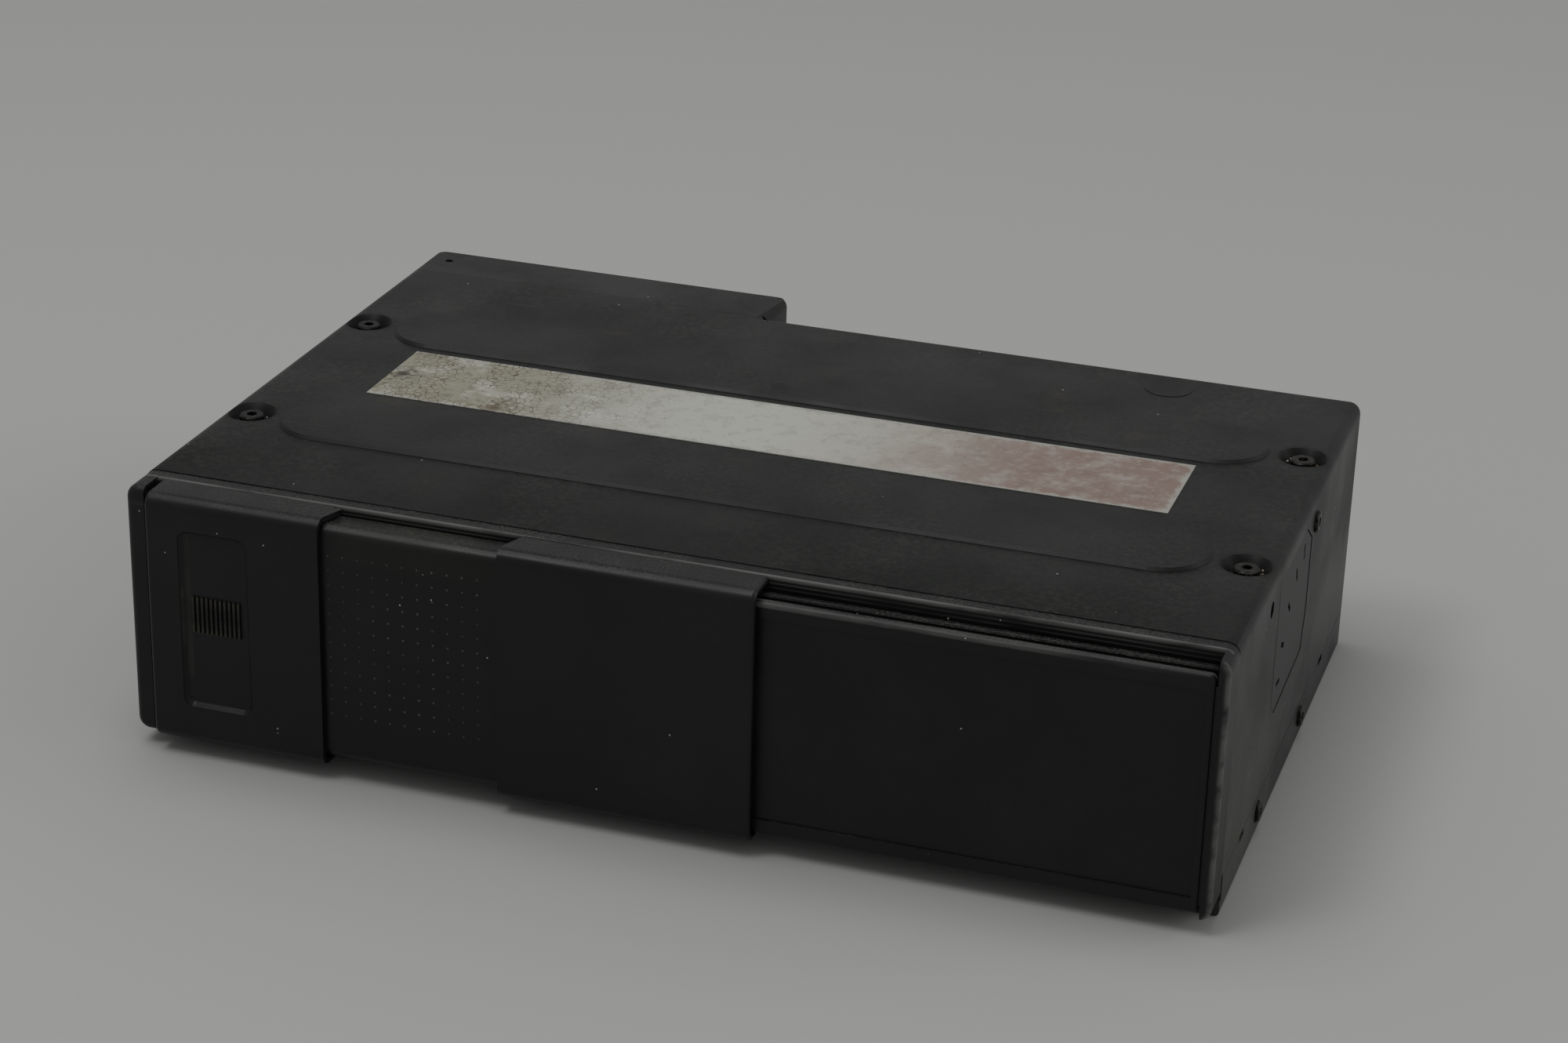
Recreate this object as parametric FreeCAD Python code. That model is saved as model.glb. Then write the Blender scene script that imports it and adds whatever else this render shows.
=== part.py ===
import FreeCAD, Part
import math
import os

# Six-disc changer for a car. Millimetres. While a piece is built, x runs from the left side of the
# case, y runs backwards from the seam behind the bezel, and z runs up from the underside.
# Each piece is moved home to the frame's origin, under the middle of the whole unit, when it is saved.

# Sheet-metal case
sheet = 1.0
bend_radius = 3.0
hood_width = 101.0
hood_depth = 18.5
hood_drop = 0.9
seam_height = 10.0
roof_band = 4.0
side_reach = 6.0
lap_gap = 0.2
touch_gap = 0.05

# Pressed features of the top
rib_margin = 15.0
rib_height = 0.8
rib_slope = 1.2
rear_rib_middle = 108.0
rear_rib_width = 25.5
front_rib_middle = 41.3
front_rib_width = 24.5
dimple_inset = 7.0
dimple_rows = (40.2, 107.2)
dimple_top_radius = 6.0
dimple_floor_radius = 3.9
dimple_depth = 2.2
spot_inset = 47.0
spot_row = 139.6
spot_radius = 6.0
spot_height = 0.12
label_start = 27.2
label_end_margin = 29.8
label_front = 61.8
label_width = 30.4
label_thickness = 0.15
relief_size = 3.2

# Screws
screw_radius = 1.5
screw_clear = 0.2
screw_head_radius = 3.0
screw_head_height = 1.7
pan_head_radius = 2.6
pan_head_height = 0.9
socket_hex_radius = 1.35
flange_screw_rows = (40.3, 91.8)
flange_screw_height = 5.8
side_screw_row = 90.0
side_screw_drop = 8.5
bracket_hole_row = 36.7
bracket_hole_drop = 8.2
bracket_hole_radius = 2.0
bracket_nut_radius = 3.4
bracket_nut_depth = 3.0

# Bezel
bezel_depth = 10.6
bezel_bottom = 3.6
bezel_top_gap = 0.2
left_cheek_width = 4.8
right_cheek_width = 2.4
cheek_rounding = 1.8
ring_depth = 3.5
ring_rounding = 0.6
panel_wall = 1.6
panel_edge_rounding = 1.2
panel_border = 3.8
panel_side_border = 2.2
panel_gap = 0.3
panel_line = 0.5
panel_corner = 1.6
panel_recess = 0.5
groove_depth = 2.2
groove_width = 1.3
land_width = 2.6
slot_height_gap = 3.0
slot_side_gap = 1.0
clip_columns = (32.0, 100.0)
clip_width = 26.0

# Sliding doors
door_reach = 13.5
leaf_wall = 1.3
leaf_gap = 0.3
tongue_wall = 1.2
leaf_rounding = 3.0
mitre_reach = 2.2
hook_wall = 0.7
hook_reach = 1.5
door_side_gap = 1.4
grip_width = 43.4
tongue_show = 43.3
tongue_lap = 7.7
cover_width = 60.4
grip_wall = 2.6
scoop_start = 8.2
scoop_width = 17.5
scoop_bottom = 13.5
scoop_height = 44.5
scoop_depth = 1.2
scoop_corner = 2.5
grip_rib_count = 11
grip_rib_width = 0.55
grip_rib_pitch = 1.15
grip_rib_height = 0.6
grip_rib_bottom = 32.5
grip_rib_length = 9.0

# Side brackets and the angle adjusters
bracket_gap = 1.2
bracket_sheet = 1.2
bracket_front = 26.0
bracket_rear = 124.0
bracket_foot = 5.0
adjuster_row = 79.0
adjuster_height = 30.5
adjuster_reach = 24.5
adjuster_start = 94.0
adjuster_step = 20.75
adjuster_stops = 5
adjuster_thickness = 1.6
adjuster_width = 6.5
adjuster_bump = 1.7
pivot_radius = 2.0
pivot_head_radius = 3.4
pivot_clear = 0.05
plate_outline = ((47.0, 60.0), (78.5, 60.0), (86.0, 55.0), (86.3, 36.5), (83.2, 27.2), (51.5, 25.6), (47.2, 29.0))
plate_thickness = 0.8
plate_recess = 0.15
plate_gap = 0.3
notch_length = 4.0
notch_width = 1.3

# Magazine, trays and discs
disc_count = 6
disc_radius = 60.0
disc_thickness = 1.2
disc_bore = 7.5
magazine_left = 11.0
magazine_front = 3.0
magazine_bottom = 20.5
magazine_wall = 1.6
magazine_front_wall = 7.4
magazine_head_room = 0.9
tray_border = 2.0
tray_side_room = 9.0
tray_front_gap = 1.6
tray_rear_gap = 1.4
tray_thickness = 2.6
tray_pitch = 5.2
tray_floor = 1.1
tray_corner = 3.0
tray_gap = 0.3
ledge_reach = 3.0
ledge_thickness = 0.8
disc_pocket_gap = 0.5
tray_hole = 18.0
tray_window_width = 24.0
tray_window_reach = 58.0
load_to_player = 33.5

# Floating chassis
chassis_sheet = 1.2
chassis_bottom = 8.6
chassis_left = 9.0
chassis_front = 5.4
chassis_rear_room = 3.6
player_gap = 3.0
player_reach = 69.5
wall_sheet = 1.0
board_window_left = 32.0
board_window_inset = 5.0
board_window_front = 14.0
board_window_rear = 136.0
bay_flange = 9.0
damper_inset = 10.3
damper_radius = 7.0
damper_height = 6.2
damper_pin_radius = 1.5
damper_pin_gap = 0.4
damper_pin_end = 3.5
spring_radius = 8.4
spring_wire = 0.45
spring_turns = 3.0
spring_steps = 12
wire_sides = 6

# Lift of the player deck
deck_reach_left = 24.5
deck_reach_right = 31.5
deck_sheet = 1.2
deck_play_gap = 0.35
lift_pin_offsets = (-1.5, 26.5)
lift_pin_radius = 1.5
lift_pin_rise = 8.5
slot_clear = 0.1
slide_gap = 0.4
slide_sheet = 1.0
slide_reach_left = 31.5
slide_reach_right = 45.5
stud_offset = 39.0
stud_rise = 3.7
shaft_offset = 38.5
shaft_height = 16.0
shaft_radius = 1.5
running = 0.05
lift_module = 0.8
lift_teeth = 12
drive_module = 0.75
drive_wheel_teeth = 24
drive_pinion_teeth = 12
drive_angle = 10.0
gear_face = 1.4
drive_face = 3.0
pressure_angle = 25.0
backlash = 0.2
rack_addendum = 0.6
rack_root = 1.0
motor_radius = 8.0
motor_length = 26.0
motor_shaft_radius = 1.0

# Player on the deck
flange_rise = 13.7
hub_radius = 13.0
boss_radius = 7.35
boss_height = 1.6
hub_thickness = 1.0
load_gap = 0.4
clamp_gap = 0.05
spindle_radius = 1.0
spindle_motor_radius = 11.0
spindle_motor_height = 7.2
rod_radius = 1.2
rod_offset = 10.5
screw_offset = 16.5
rod_drop = 3.2
rod_front_offset = 10.0
rod_length = 52.0
sled_gap = 2.4
sled_length = 15.8
sled_reach_left = 13.5
sled_reach_right = 19.5
sled_height = 5.4
lens_radius = 3.5
lens_offset = 12.4
sled_motor_length = 15.0
sled_motor_width = 12.0
sled_motor_height = 7.0
clamp_tilt = 5.5
clamp_arm_length = 57.0
clamp_hinge_rise = 6.1
clamp_arm_width = 13.0
clamp_arm_sheet = 1.2
puck_radius = 12.0
puck_height = 3.4
puck_neck_radius = 2.6
puck_play = 0.3
puck_cap_radius = 4.5
puck_cap_height = 0.8

# Electronics, sockets and the eject parts
board_left = 38.0
board_inset = 8.0
board_front = 20.0
board_rear = 134.0
board_thickness = 1.6
chips = ((32.0, 40.0, 14.0, 14.0, 2.2), (62.0, 50.0, 20.0, 14.0, 2.4), (22.0, 75.0, 10.0, 16.0, 2.0), (72.0, 85.0, 8.0, 22.0, 6.0))
cans = ((16.0, 20.0), (28.0, 20.0), (62.0, 25.0))
can_radius = 4.0
can_height = 8.5
board_rise = 3.0
post_radius = 3.0
socket_row = 159.5
socket_height = 33.0
socket_radius = 6.6
socket_wall = 1.2
socket_depth = 9.0
socket_block = 17.0
socket_pin_radius = 0.5
socket_pin_length = 4.0
socket_pin_circle = 3.6
socket_pin_count = 8
seal_radius = 7.0
seal_thickness = 0.3
transport_radius = 4.0
transport_places = ((60.0, 25.0), (150.0, 120.0), (225.0, 60.0))
vent_room = 12.5
rear_room = 11.0
right_room = 7.0
button_width = 4.0
button_left = 5.1
button_bottom = 28.0
button_height = 14.0
button_gap = 0.2
button_front = 9.5
rod_left = 6.1
rod_width = 1.5
rod_bottom = 40.2
rod_height = 1.8
rod_end = 121.0

# Places worked out from the sizes above
tray_side = 2 * (disc_radius + tray_border)
magazine_width = tray_side + tray_side_room
magazine_depth = tray_side + magazine_front_wall + magazine_wall + tray_front_gap + tray_rear_gap
magazine_right = magazine_left + magazine_width
magazine_rear = magazine_front + magazine_depth
disc_middle_x = magazine_left + magazine_width / 2
disc_middle_y = magazine_front + magazine_front_wall + tray_front_gap + tray_side / 2
first_tray = magazine_bottom + magazine_wall + tray_gap
top_tray = first_tray + (disc_count - 1) * tray_pitch
magazine_top = top_tray + tray_thickness + magazine_head_room + magazine_wall
player_left = magazine_right + player_gap
spindle_x = player_left + load_to_player
load_travel = spindle_x - disc_middle_x
chassis_right = spindle_x + player_reach
chassis_rear = magazine_rear + chassis_rear_room
case_width = chassis_right + right_room
case_depth = magazine_rear + rear_room
case_height = magazine_top + vent_room
home = FreeCAD.Vector(-case_width / 2, -(case_depth + hood_depth - door_reach) / 2, 0)
label_length = case_width - label_start - label_end_margin
spot_place = (case_width - spot_inset, spot_row)
bracket_hole_height = case_height - bracket_hole_drop
side_screw_height = case_height - side_screw_drop
bezel_top = case_height - bezel_top_gap
leaf_front = -door_reach
leaf_low = bezel_bottom + bezel_top_gap
leaf_high = bezel_top - bezel_top_gap
tongue_front = leaf_front + leaf_wall + leaf_gap
tongue_high = leaf_high - leaf_wall - leaf_gap
tongue_low = leaf_low + leaf_wall + leaf_gap
panel_front = tongue_front + tongue_wall + leaf_gap
rail_high = tongue_high - tongue_wall - leaf_gap
rail_low = tongue_low
hook_rear = -ring_depth - leaf_gap
rear_groove_front = -ring_depth - groove_width
front_groove_rear = rear_groove_front - land_width
front_groove_front = front_groove_rear - groove_width
slot_bottom = magazine_bottom - slot_height_gap
slot_top = magazine_top + slot_height_gap
inside_right = case_width - right_cheek_width
grip_left = left_cheek_width + door_side_gap
tongue_left = grip_left + grip_width
cover_left = tongue_left + tongue_show
cover_right = cover_left + cover_width
lift_down = (disc_count - 1) * tray_pitch
hub_top = top_tray - load_gap - boss_height
lift_up = top_tray + tray_floor - clamp_gap - hub_top
deck_top = top_tray - lift_up - deck_play_gap
deck_bottom = deck_top - deck_sheet
chassis_floor = chassis_bottom + chassis_sheet
deck_left = spindle_x - deck_reach_left
deck_right = spindle_x + deck_reach_right
lift_pin_columns = tuple(spindle_x + offset for offset in lift_pin_offsets)
slide_left = spindle_x - slide_reach_left
slide_right = spindle_x + slide_reach_right
stud_column = spindle_x + stud_offset
shaft_column = spindle_x + shaft_offset
rod_columns = (spindle_x - rod_offset, spindle_x + rod_offset)
screw_column = spindle_x + screw_offset
rod_front = disc_middle_y + rod_front_offset
rod_rear = rod_front + rod_length
sled_front = rod_front + sled_gap
sled_left = spindle_x - sled_reach_left
sled_right = spindle_x + sled_reach_right
clamp_hinge_row = disc_middle_y + clamp_arm_length
board_window_right = magazine_right - board_window_inset
board_right = magazine_right - board_inset
lift_pin_height = deck_top + lift_pin_rise
wall_top = lift_pin_height + lift_up + 4.2
front_wall = disc_middle_y - tray_side / 2 - 4.4
rear_wall = disc_middle_y + tray_side / 2 + 3.4
slide_height = shaft_height + lift_module * lift_teeth / 2
slide_bottom = slide_height + rack_root
slide_top = wall_top - 0.3
drive_distance = drive_module * (drive_wheel_teeth + drive_pinion_teeth) / 2
motor_column = shaft_column + drive_distance * math.cos(math.radians(drive_angle))
motor_height = shaft_height + drive_distance * math.sin(math.radians(drive_angle))
hinge_height = deck_top + clamp_hinge_rise + 6.5
puck_bottom = top_tray + tray_floor + disc_thickness + clamp_gap - lift_up
arm_bottom = puck_bottom + puck_height + puck_play
rod_height_z = deck_bottom - rod_drop


def point(x, y, z):
    return FreeCAD.Vector(x, y, z)


def box(x0, x1, y0, y1, z0, z1):
    return Part.makeBox(x1 - x0, y1 - y0, z1 - z0, point(x0, y0, z0))


def rod(radius, start, along, length):
    return Part.makeCylinder(radius, length, point(*start), point(*along))


def join(shapes):
    return shapes[0].multiFuse(shapes[1:]).removeSplitter()


def take(shape, tools):
    return shape.cut(Part.makeCompound(tools)) if len(tools) > 1 else shape.cut(tools[0])


def prism(points, direction):
    """A flat outline of points, drawn out along a direction."""
    corners = [point(*p) for p in points]
    return Part.Face(Part.makePolygon(corners + corners[:1])).extrude(point(*direction))


def stadium(x0, x1, y0, y1, z0, z1):
    radius = (y1 - y0) / 2
    middle = (y0 + y1) / 2
    ends = [rod(radius, (x, middle, z0), (0, 0, 1), z1 - z0) for x in (x0 + radius, x1 - radius)]
    return join([box(x0 + radius, x1 - radius, y0, y1, z0, z1)] + ends)


def rounded(shape, radius, places):
    """Round the edges of a shape that pass through the given places."""
    probes = [Part.Vertex(point(*p)) for p in places]
    edges = [e for e in shape.Edges if any(p.distToShape(e)[0] < 0.01 for p in probes)]
    return shape.makeFillet(radius, edges)


def mirrored(shape):
    return shape.mirror(point(case_width / 2, 0, 0), point(1, 0, 0))


def save(name, *solids):
    shape = solids[0] if len(solids) == 1 else Part.makeCompound(list(solids))
    shape = shape.copy()
    shape.translate(home)
    shape.exportStep("parts/" + name + ".step")


def case_form(inset, z_low, z_high, y_front):
    """The case with its deeper left rear, as one solid, drawn in by an inset."""
    rear = case_depth - inset
    hood_rear = case_depth + hood_depth - inset
    left = inset
    right = case_width - inset
    hood_right = hood_width - inset
    radius = bend_radius - inset
    outline = [
        (left, y_front, z_low), (right, y_front, z_low), (right, rear, z_low),
        (hood_right, rear, z_low), (hood_right, hood_rear, z_low), (left, hood_rear, z_low),
    ]
    form = prism(outline, (0, 0, z_high - z_low))
    middle = (z_low + z_high) / 2
    form = rounded(form, radius, [(right, rear, middle), (hood_right, hood_rear, middle), (left, hood_rear, middle)])
    return form


def top_edges(inset, z, y_front):
    """One place on each outer edge of the case form at height z, without its front edge."""
    side_row = (y_front + case_depth) / 2
    rear = case_depth - inset
    hood_rear = case_depth + hood_depth - inset
    return [
        (inset, side_row, z), (case_width - inset, side_row, z),
        ((case_width + hood_width) / 2, rear, z), (hood_width / 2, hood_rear, z),
        (hood_width - inset, case_depth + hood_depth / 2, z),
    ]


def shell_block(inset, z_low, y_front):
    """The case form with its top bends, and its hood sloping down to the rear."""
    top = case_height - inset
    form = case_form(inset, z_low, top, y_front)
    form = rounded(form, bend_radius - inset, top_edges(inset, top, y_front))
    slope = prism(
        [(-1, case_depth, top), (-1, case_depth + hood_depth, top - hood_drop),
         (-1, case_depth + hood_depth, top + 1), (-1, case_depth, top + 1)],
        (hood_width + 1 + sheet, 0, 0),
    )
    return form.cut(slope)


def rib(middle, width, inset, z0, height):
    """A long raised rib with sloping sides."""
    x0 = rib_margin + inset
    x1 = case_width - rib_margin - inset
    low = stadium(x0, x1, middle - width / 2 + inset, middle + width / 2 - inset, z0, z0 + height)
    radius = width / 2 - inset
    rim = [e for e in low.Edges if abs(e.BoundBox.ZMin - z0 - height) < 0.01 and abs(e.BoundBox.ZMax - z0 - height) < 0.01]
    return low.makeChamfer(min(rib_slope, radius) * height / rib_height * 0.6, rim)


def dimple_places():
    return [(x, y) for x in (dimple_inset, case_width - dimple_inset) for y in dimple_rows]


def window_outline(x, grow):
    """The side window's outline, grown outwards from its middle."""
    middle_y = sum(p[0] for p in plate_outline) / len(plate_outline)
    middle_z = sum(p[1] for p in plate_outline) / len(plate_outline)
    points = []
    for y, z in plate_outline:
        reach = math.hypot(y - middle_y, z - middle_z)
        scale = (reach + grow) / reach
        points.append((x, middle_y + (y - middle_y) * scale, middle_z + (z - middle_z) * scale))
    return points


def side_pair(shape):
    return [shape, mirrored(shape)]


def cover_sheet():
    """The whole bent sheet that covers the top, the sides and the rear."""
    outer = shell_block(0, seam_height, 0)
    inner = shell_block(sheet, seam_height - 1, -1)
    for middle, width in ((rear_rib_middle, rear_rib_width), (front_rib_middle, front_rib_width)):
        outer = outer.fuse(rib(middle, width, 0, case_height, rib_height))
        inner = inner.fuse(rib(middle, width, sheet, case_height - sheet, rib_height))
    outer = outer.fuse(rod(spot_radius, (*spot_place, case_height), (0, 0, 1), spot_height))
    floor = case_height - dimple_depth
    flare = (dimple_top_radius - dimple_floor_radius) / dimple_depth
    deep = dimple_depth + 1
    for x, y in dimple_places():
        outer = outer.cut(Part.makeCone(dimple_floor_radius, dimple_floor_radius + flare * deep, deep, point(x, y, floor)))
        cup_floor = dimple_floor_radius + sheet / 2
        cup = Part.makeCone(cup_floor, cup_floor + flare * deep, deep, point(x, y, floor - sheet))
        inner = inner.cut(cup)
    cover = outer.cut(inner)
    adds = []
    cuts = []
    for x, y in dimple_places():
        cuts.append(rod(screw_radius + screw_clear, (x, y, floor - sheet - 1), (0, 0, 1), dimple_depth + 2))
    for row in flange_screw_rows:
        tab = box(sheet + touch_gap, 2 * sheet + touch_gap, row - 5, row + 5, 2, seam_height + 2)
        knee = box(sheet / 2, 2 * sheet + touch_gap, row - 5, row + 5, seam_height, seam_height + 2)
        adds += side_pair(join([tab, knee]))
        cuts += side_pair(rod(screw_radius + touch_gap, (0, row, flange_screw_height), (1, 0, 0), 4))
    nut = rod(bracket_nut_radius, (sheet / 2, bracket_hole_row, bracket_hole_height), (1, 0, 0), bracket_nut_depth + sheet / 2)
    adds += side_pair(nut)
    cuts += side_pair(rod(bracket_hole_radius, (-1, bracket_hole_row, bracket_hole_height), (1, 0, 0), 9))
    cuts += side_pair(rod(screw_radius + screw_clear, (-1, side_screw_row, side_screw_height), (1, 0, 0), 3))
    cuts += side_pair(prism(window_outline(-1, plate_gap), (3, 0, 0)))
    cuts.append(rod(socket_radius + socket_wall + screw_clear, (hood_width - 3, socket_row, socket_height), (1, 0, 0), 5))
    corner = [(hood_width + 1, case_depth - relief_size, case_height - 4), (hood_width + 1, case_depth + 1, case_height - 4),
              (hood_width - 2, case_depth + 1, case_height - 4)]
    cuts.append(prism(corner, (0, 0, 5)))
    x, y = 6.5, case_depth + 10.0
    cuts.append(rod(1.1, (x, y, case_height - 3), (0, 0, 1), 4))
    return take(join([cover] + adds), cuts)


def cover_pieces():
    """The sheet parted below its top bends: the top, the left and right sides, and the rear with the hood."""
    sheet_body = cover_sheet()
    low = case_height - roof_band
    hood_rear = case_depth + hood_depth
    top = box(-1, case_width + 1, -1, hood_rear + 1, low, case_height + 2)
    left = box(-1, side_reach, -1, hood_rear - bend_radius, 0, low)
    right = box(case_width - side_reach, case_width + 1, -1, case_depth - bend_radius, 0, low)
    below = box(-1, case_width + 1, -1, hood_rear + 1, 0, low)
    rear = below.cut(left.fuse(right))
    return [sheet_body.common(tool) for tool in (top, left, right, rear)]


def bottom_cover():
    high = seam_height - lap_gap
    outer = case_form(0, 0, high, 0)
    outer = rounded(outer, 1.0, top_edges(0, 0, 0))
    inner = case_form(sheet, sheet, high + 1, sheet)
    tray = outer.cut(inner)
    adds = []
    cuts = [box(-1, case_width + 1, -1, sheet + 0.5, bezel_bottom - lap_gap, high + 1)]
    for x, y in board_posts():
        adds.append(rod(post_radius, (x, y, sheet / 2), (0, 0, 1), sheet / 2 + board_rise))
    for middle in (case_depth * 0.3, case_depth * 0.7):
        adds.append(stadium(40, case_width - 40, middle - 5, middle + 5, sheet / 2, sheet + 0.8))
        cuts.append(stadium(41, case_width - 41, middle - 4, middle + 4, -1, 0.8))
    for x, y in transport_places:
        adds.append(rod(seal_radius + 1.5, (x, y, sheet / 2), (0, 0, 1), sheet / 2 + 0.6))
        cuts.append(rod(seal_radius + 0.3, (x, y, -1), (0, 0, 1), 1 + seal_thickness + 0.05))
        cuts.append(rod(transport_radius, (x, y, -1), (0, 0, 1), 5))
    for row in flange_screw_rows:
        cuts += side_pair(rod(screw_radius + screw_clear, (-1, row, flange_screw_height), (1, 0, 0), sheet + 1.02))
    for row in (21.4, 117.7):
        cuts += side_pair(box(-1, sheet + 0.02, row - 2.4, row + 2.4, high - 1.6, high + 1))
    return take(join([tray] + adds), cuts)


def top_label():
    return box(label_start, label_start + label_length, label_front, label_front + label_width,
               case_height, case_height + label_thickness)


def hex_socket(x, y, z, along, depth):
    """A six-sided driver recess whose mouth is at x, y, z and which runs along a direction."""
    ring = []
    for k in range(6):
        a = math.radians(60 * k)
        u = socket_hex_radius * math.cos(a)
        v = socket_hex_radius * math.sin(a)
        ring.append((x + u, y + v, z) if along[2] else (x, y + u, z + v))
    return prism(ring, tuple(depth * c for c in along))


def cover_screws():
    screws = []
    seat = case_height - dimple_depth
    for x, y in dimple_places():
        head = rod(screw_head_radius, (x, y, seat), (0, 0, 1), screw_head_height)
        rim = [e for e in head.Edges if abs(e.BoundBox.ZMin - seat - screw_head_height) < 0.01]
        head = head.makeChamfer(0.35, rim)
        shank = rod(screw_radius, (x, y, seat - 6.5), (0, 0, 1), 6.6)
        screws.append(join([head, shank]).cut(hex_socket(x, y, seat + screw_head_height, (0, 0, -1), 1.1)))
    return screws


def pan_screw(row, height, reach):
    """A screw in the left side, with its domed head outside."""
    head = rod(pan_head_radius, (-pan_head_height, row, height), (1, 0, 0), pan_head_height)
    rim = [e for e in head.Edges if abs(e.BoundBox.XMax + pan_head_height) < 0.01]
    head = head.makeChamfer(0.4, rim)
    shank = rod(screw_radius, (-0.1, row, height), (1, 0, 0), reach + 0.1)
    return join([head, shank]).cut(hex_socket(-pan_head_height, row, height, (1, 0, 0), 0.7))


def flange_screws():
    return [s for row in flange_screw_rows for s in side_pair(pan_screw(row, flange_screw_height, 2 * sheet))]


def side_screws():
    return side_pair(pan_screw(side_screw_row, side_screw_height, bracket_gap + 2 * sheet))


def adjuster_place(k, reach):
    a = math.radians(adjuster_start + adjuster_step * k)
    return adjuster_row + reach * math.cos(a), adjuster_height + reach * math.sin(a)


def adjuster_plate():
    """The left detent plate: a thin lid with one notch for each stop."""
    outside = plate_recess
    lid = prism([(outside, y, z) for _, y, z in window_outline(0, 0)], (plate_thickness, 0, 0))
    cuts = []
    for k in range(adjuster_stops):
        a = adjuster_start + adjuster_step * k
        notch = box(-1, 3, adjuster_reach - notch_length / 2, adjuster_reach + notch_length / 2,
                    -notch_width / 2, notch_width / 2)
        notch.rotate(point(0, 0, 0), point(1, 0, 0), a)
        notch.translate(point(0, adjuster_row, adjuster_height))
        cuts.append(notch)
    feet = []
    web = sheet + bracket_gap
    for y, z in ((50.5, 31.0), (82.0, 52.0), (81.5, 31.0)):
        feet.append(rod(1.6, (outside + plate_thickness / 2, y, z), (1, 0, 0), web - outside - plate_thickness / 2))
    return take(join([lid] + feet), cuts)


def side_bracket():
    """The left bracket: a web that stands on the bottom, with tabs under the cover's screws."""
    x0 = sheet + bracket_gap
    x1 = x0 + bracket_sheet
    tab_top = case_height - dimple_depth - sheet
    tab_bottom = tab_top - bracket_sheet
    web = box(x0, x1, bracket_front, bracket_rear, sheet, tab_top)
    foot = box(x0, x1 + bracket_foot, bracket_front, bracket_rear, sheet, sheet + bracket_sheet)
    adds = [web, foot]
    cuts = []
    for row in dimple_rows:
        adds.append(box(x0, dimple_inset + 5, row - 6, row + 7, tab_bottom, tab_top))
        cuts.append(rod(screw_radius + touch_gap, (dimple_inset, row, tab_bottom - 1), (0, 0, 1), 4))
    adds.append(rod(pivot_radius, (x1 - 0.2, adjuster_row, adjuster_height), (1, 0, 0), adjuster_thickness + 1.0))
    adds.append(rod(pivot_head_radius, (x1 + adjuster_thickness + 0.6, adjuster_row, adjuster_height), (1, 0, 0), 0.7))
    for row in guide_rows():
        lug = box(x1 - 0.2, rod_left + rod_width + 1.2, row - 1.5, row + 1.5, rod_bottom - 1.4, rod_bottom + rod_height + 1.4)
        adds.append(lug)
        cuts.append(box(rod_left - 0.1, rod_left + rod_width + 0.1, row - 3, row + 3,
                        rod_bottom - 0.1, rod_bottom + rod_height + 0.1))
    band = rod(adjuster_reach + 3, (x0 - 1, adjuster_row, adjuster_height), (1, 0, 0), 4)
    band = band.cut(rod(adjuster_reach - 3, (x0 - 2, adjuster_row, adjuster_height), (1, 0, 0), 6))
    quarter = box(x0 - 2, x1 + 1, adjuster_row - 40, adjuster_row + 4, adjuster_height - 4, adjuster_height + 40)
    cuts.append(band.common(quarter))
    cuts.append(rod(screw_radius + touch_gap, (x0 - 1, side_screw_row, side_screw_height), (1, 0, 0), 4))
    cuts.append(box(x0 - 1, x1 + 1, bracket_front - 1, bracket_hole_row + 5, bracket_hole_height - 5.5, tab_bottom))
    return take(join(adds), cuts)


def guide_rows():
    return (bracket_front + 20.0, bracket_rear - 10.0)


def adjuster():
    """The left angle adjuster: a spring arm on the bracket's pin, its bump behind the notches."""
    x0 = sheet + bracket_gap + bracket_sheet + 0.4
    y, z = adjuster_place(0, adjuster_reach)
    tail_y, tail_z = adjuster_place(0, -9.0)
    half = adjuster_width / 2
    arm = box(x0, x0 + adjuster_thickness, -9, adjuster_reach, -half, half)
    arm.rotate(point(0, 0, 0), point(1, 0, 0), adjuster_start)
    arm.translate(point(0, adjuster_row, adjuster_height))
    tip = rod(half, (x0, y, z), (1, 0, 0), adjuster_thickness)
    tail = rod(half, (x0, tail_y, tail_z), (1, 0, 0), adjuster_thickness)
    eye = rod(half + 2, (x0, adjuster_row, adjuster_height), (1, 0, 0), adjuster_thickness)
    bump_end = plate_recess + plate_thickness + 0.3
    bump = rod(adjuster_bump, (bump_end, y, z), (1, 0, 0), x0 - bump_end + 0.2)
    hole = rod(pivot_radius + pivot_clear, (x0 - 1, adjuster_row, adjuster_height), (1, 0, 0), 5)
    hook_hole = rod(1.2, (x0 - 1, tail_y, tail_z), (1, 0, 0), 5)
    return take(join([arm, tip, tail, eye, bump]), [hole, hook_hole])


def leaf_profile(front, low, high, wall, rear, hook, foot):
    """Section of a door leaf in the y-z plane: a channel whose lips end in hooks. A foot of None has no lower lip."""
    outer = box(0, 1, front, rear, low, high)
    outer = rounded(outer, leaf_rounding, [(0.5, front, low), (0.5, front, high)])
    inner = box(-1, 2, front + wall, rear - hook_wall, low + wall, high - wall)
    inside = leaf_rounding - wall
    inner = rounded(inner, inside, [(0.5, front + wall, low + wall), (0.5, front + wall, high - wall)])
    mouth_low = low - 1 if foot is None else low + wall + foot
    mouth = box(-1, 2, front + wall, rear + 1, mouth_low, high - wall - hook)
    return take(outer, [inner, mouth])


def leaf(x0, x1, front, low, high, wall, rear, hook, foot):
    """The leaf's section drawn out from x0 to x1."""
    section = leaf_profile(front, low, high, wall, rear, hook, foot)
    face = [f for f in section.Faces if abs(f.BoundBox.XMax) < 0.001][0]
    return face.copy().translated(point(x0, 0, 0)).extrude(point(x1 - x0, 0, 0))


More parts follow.
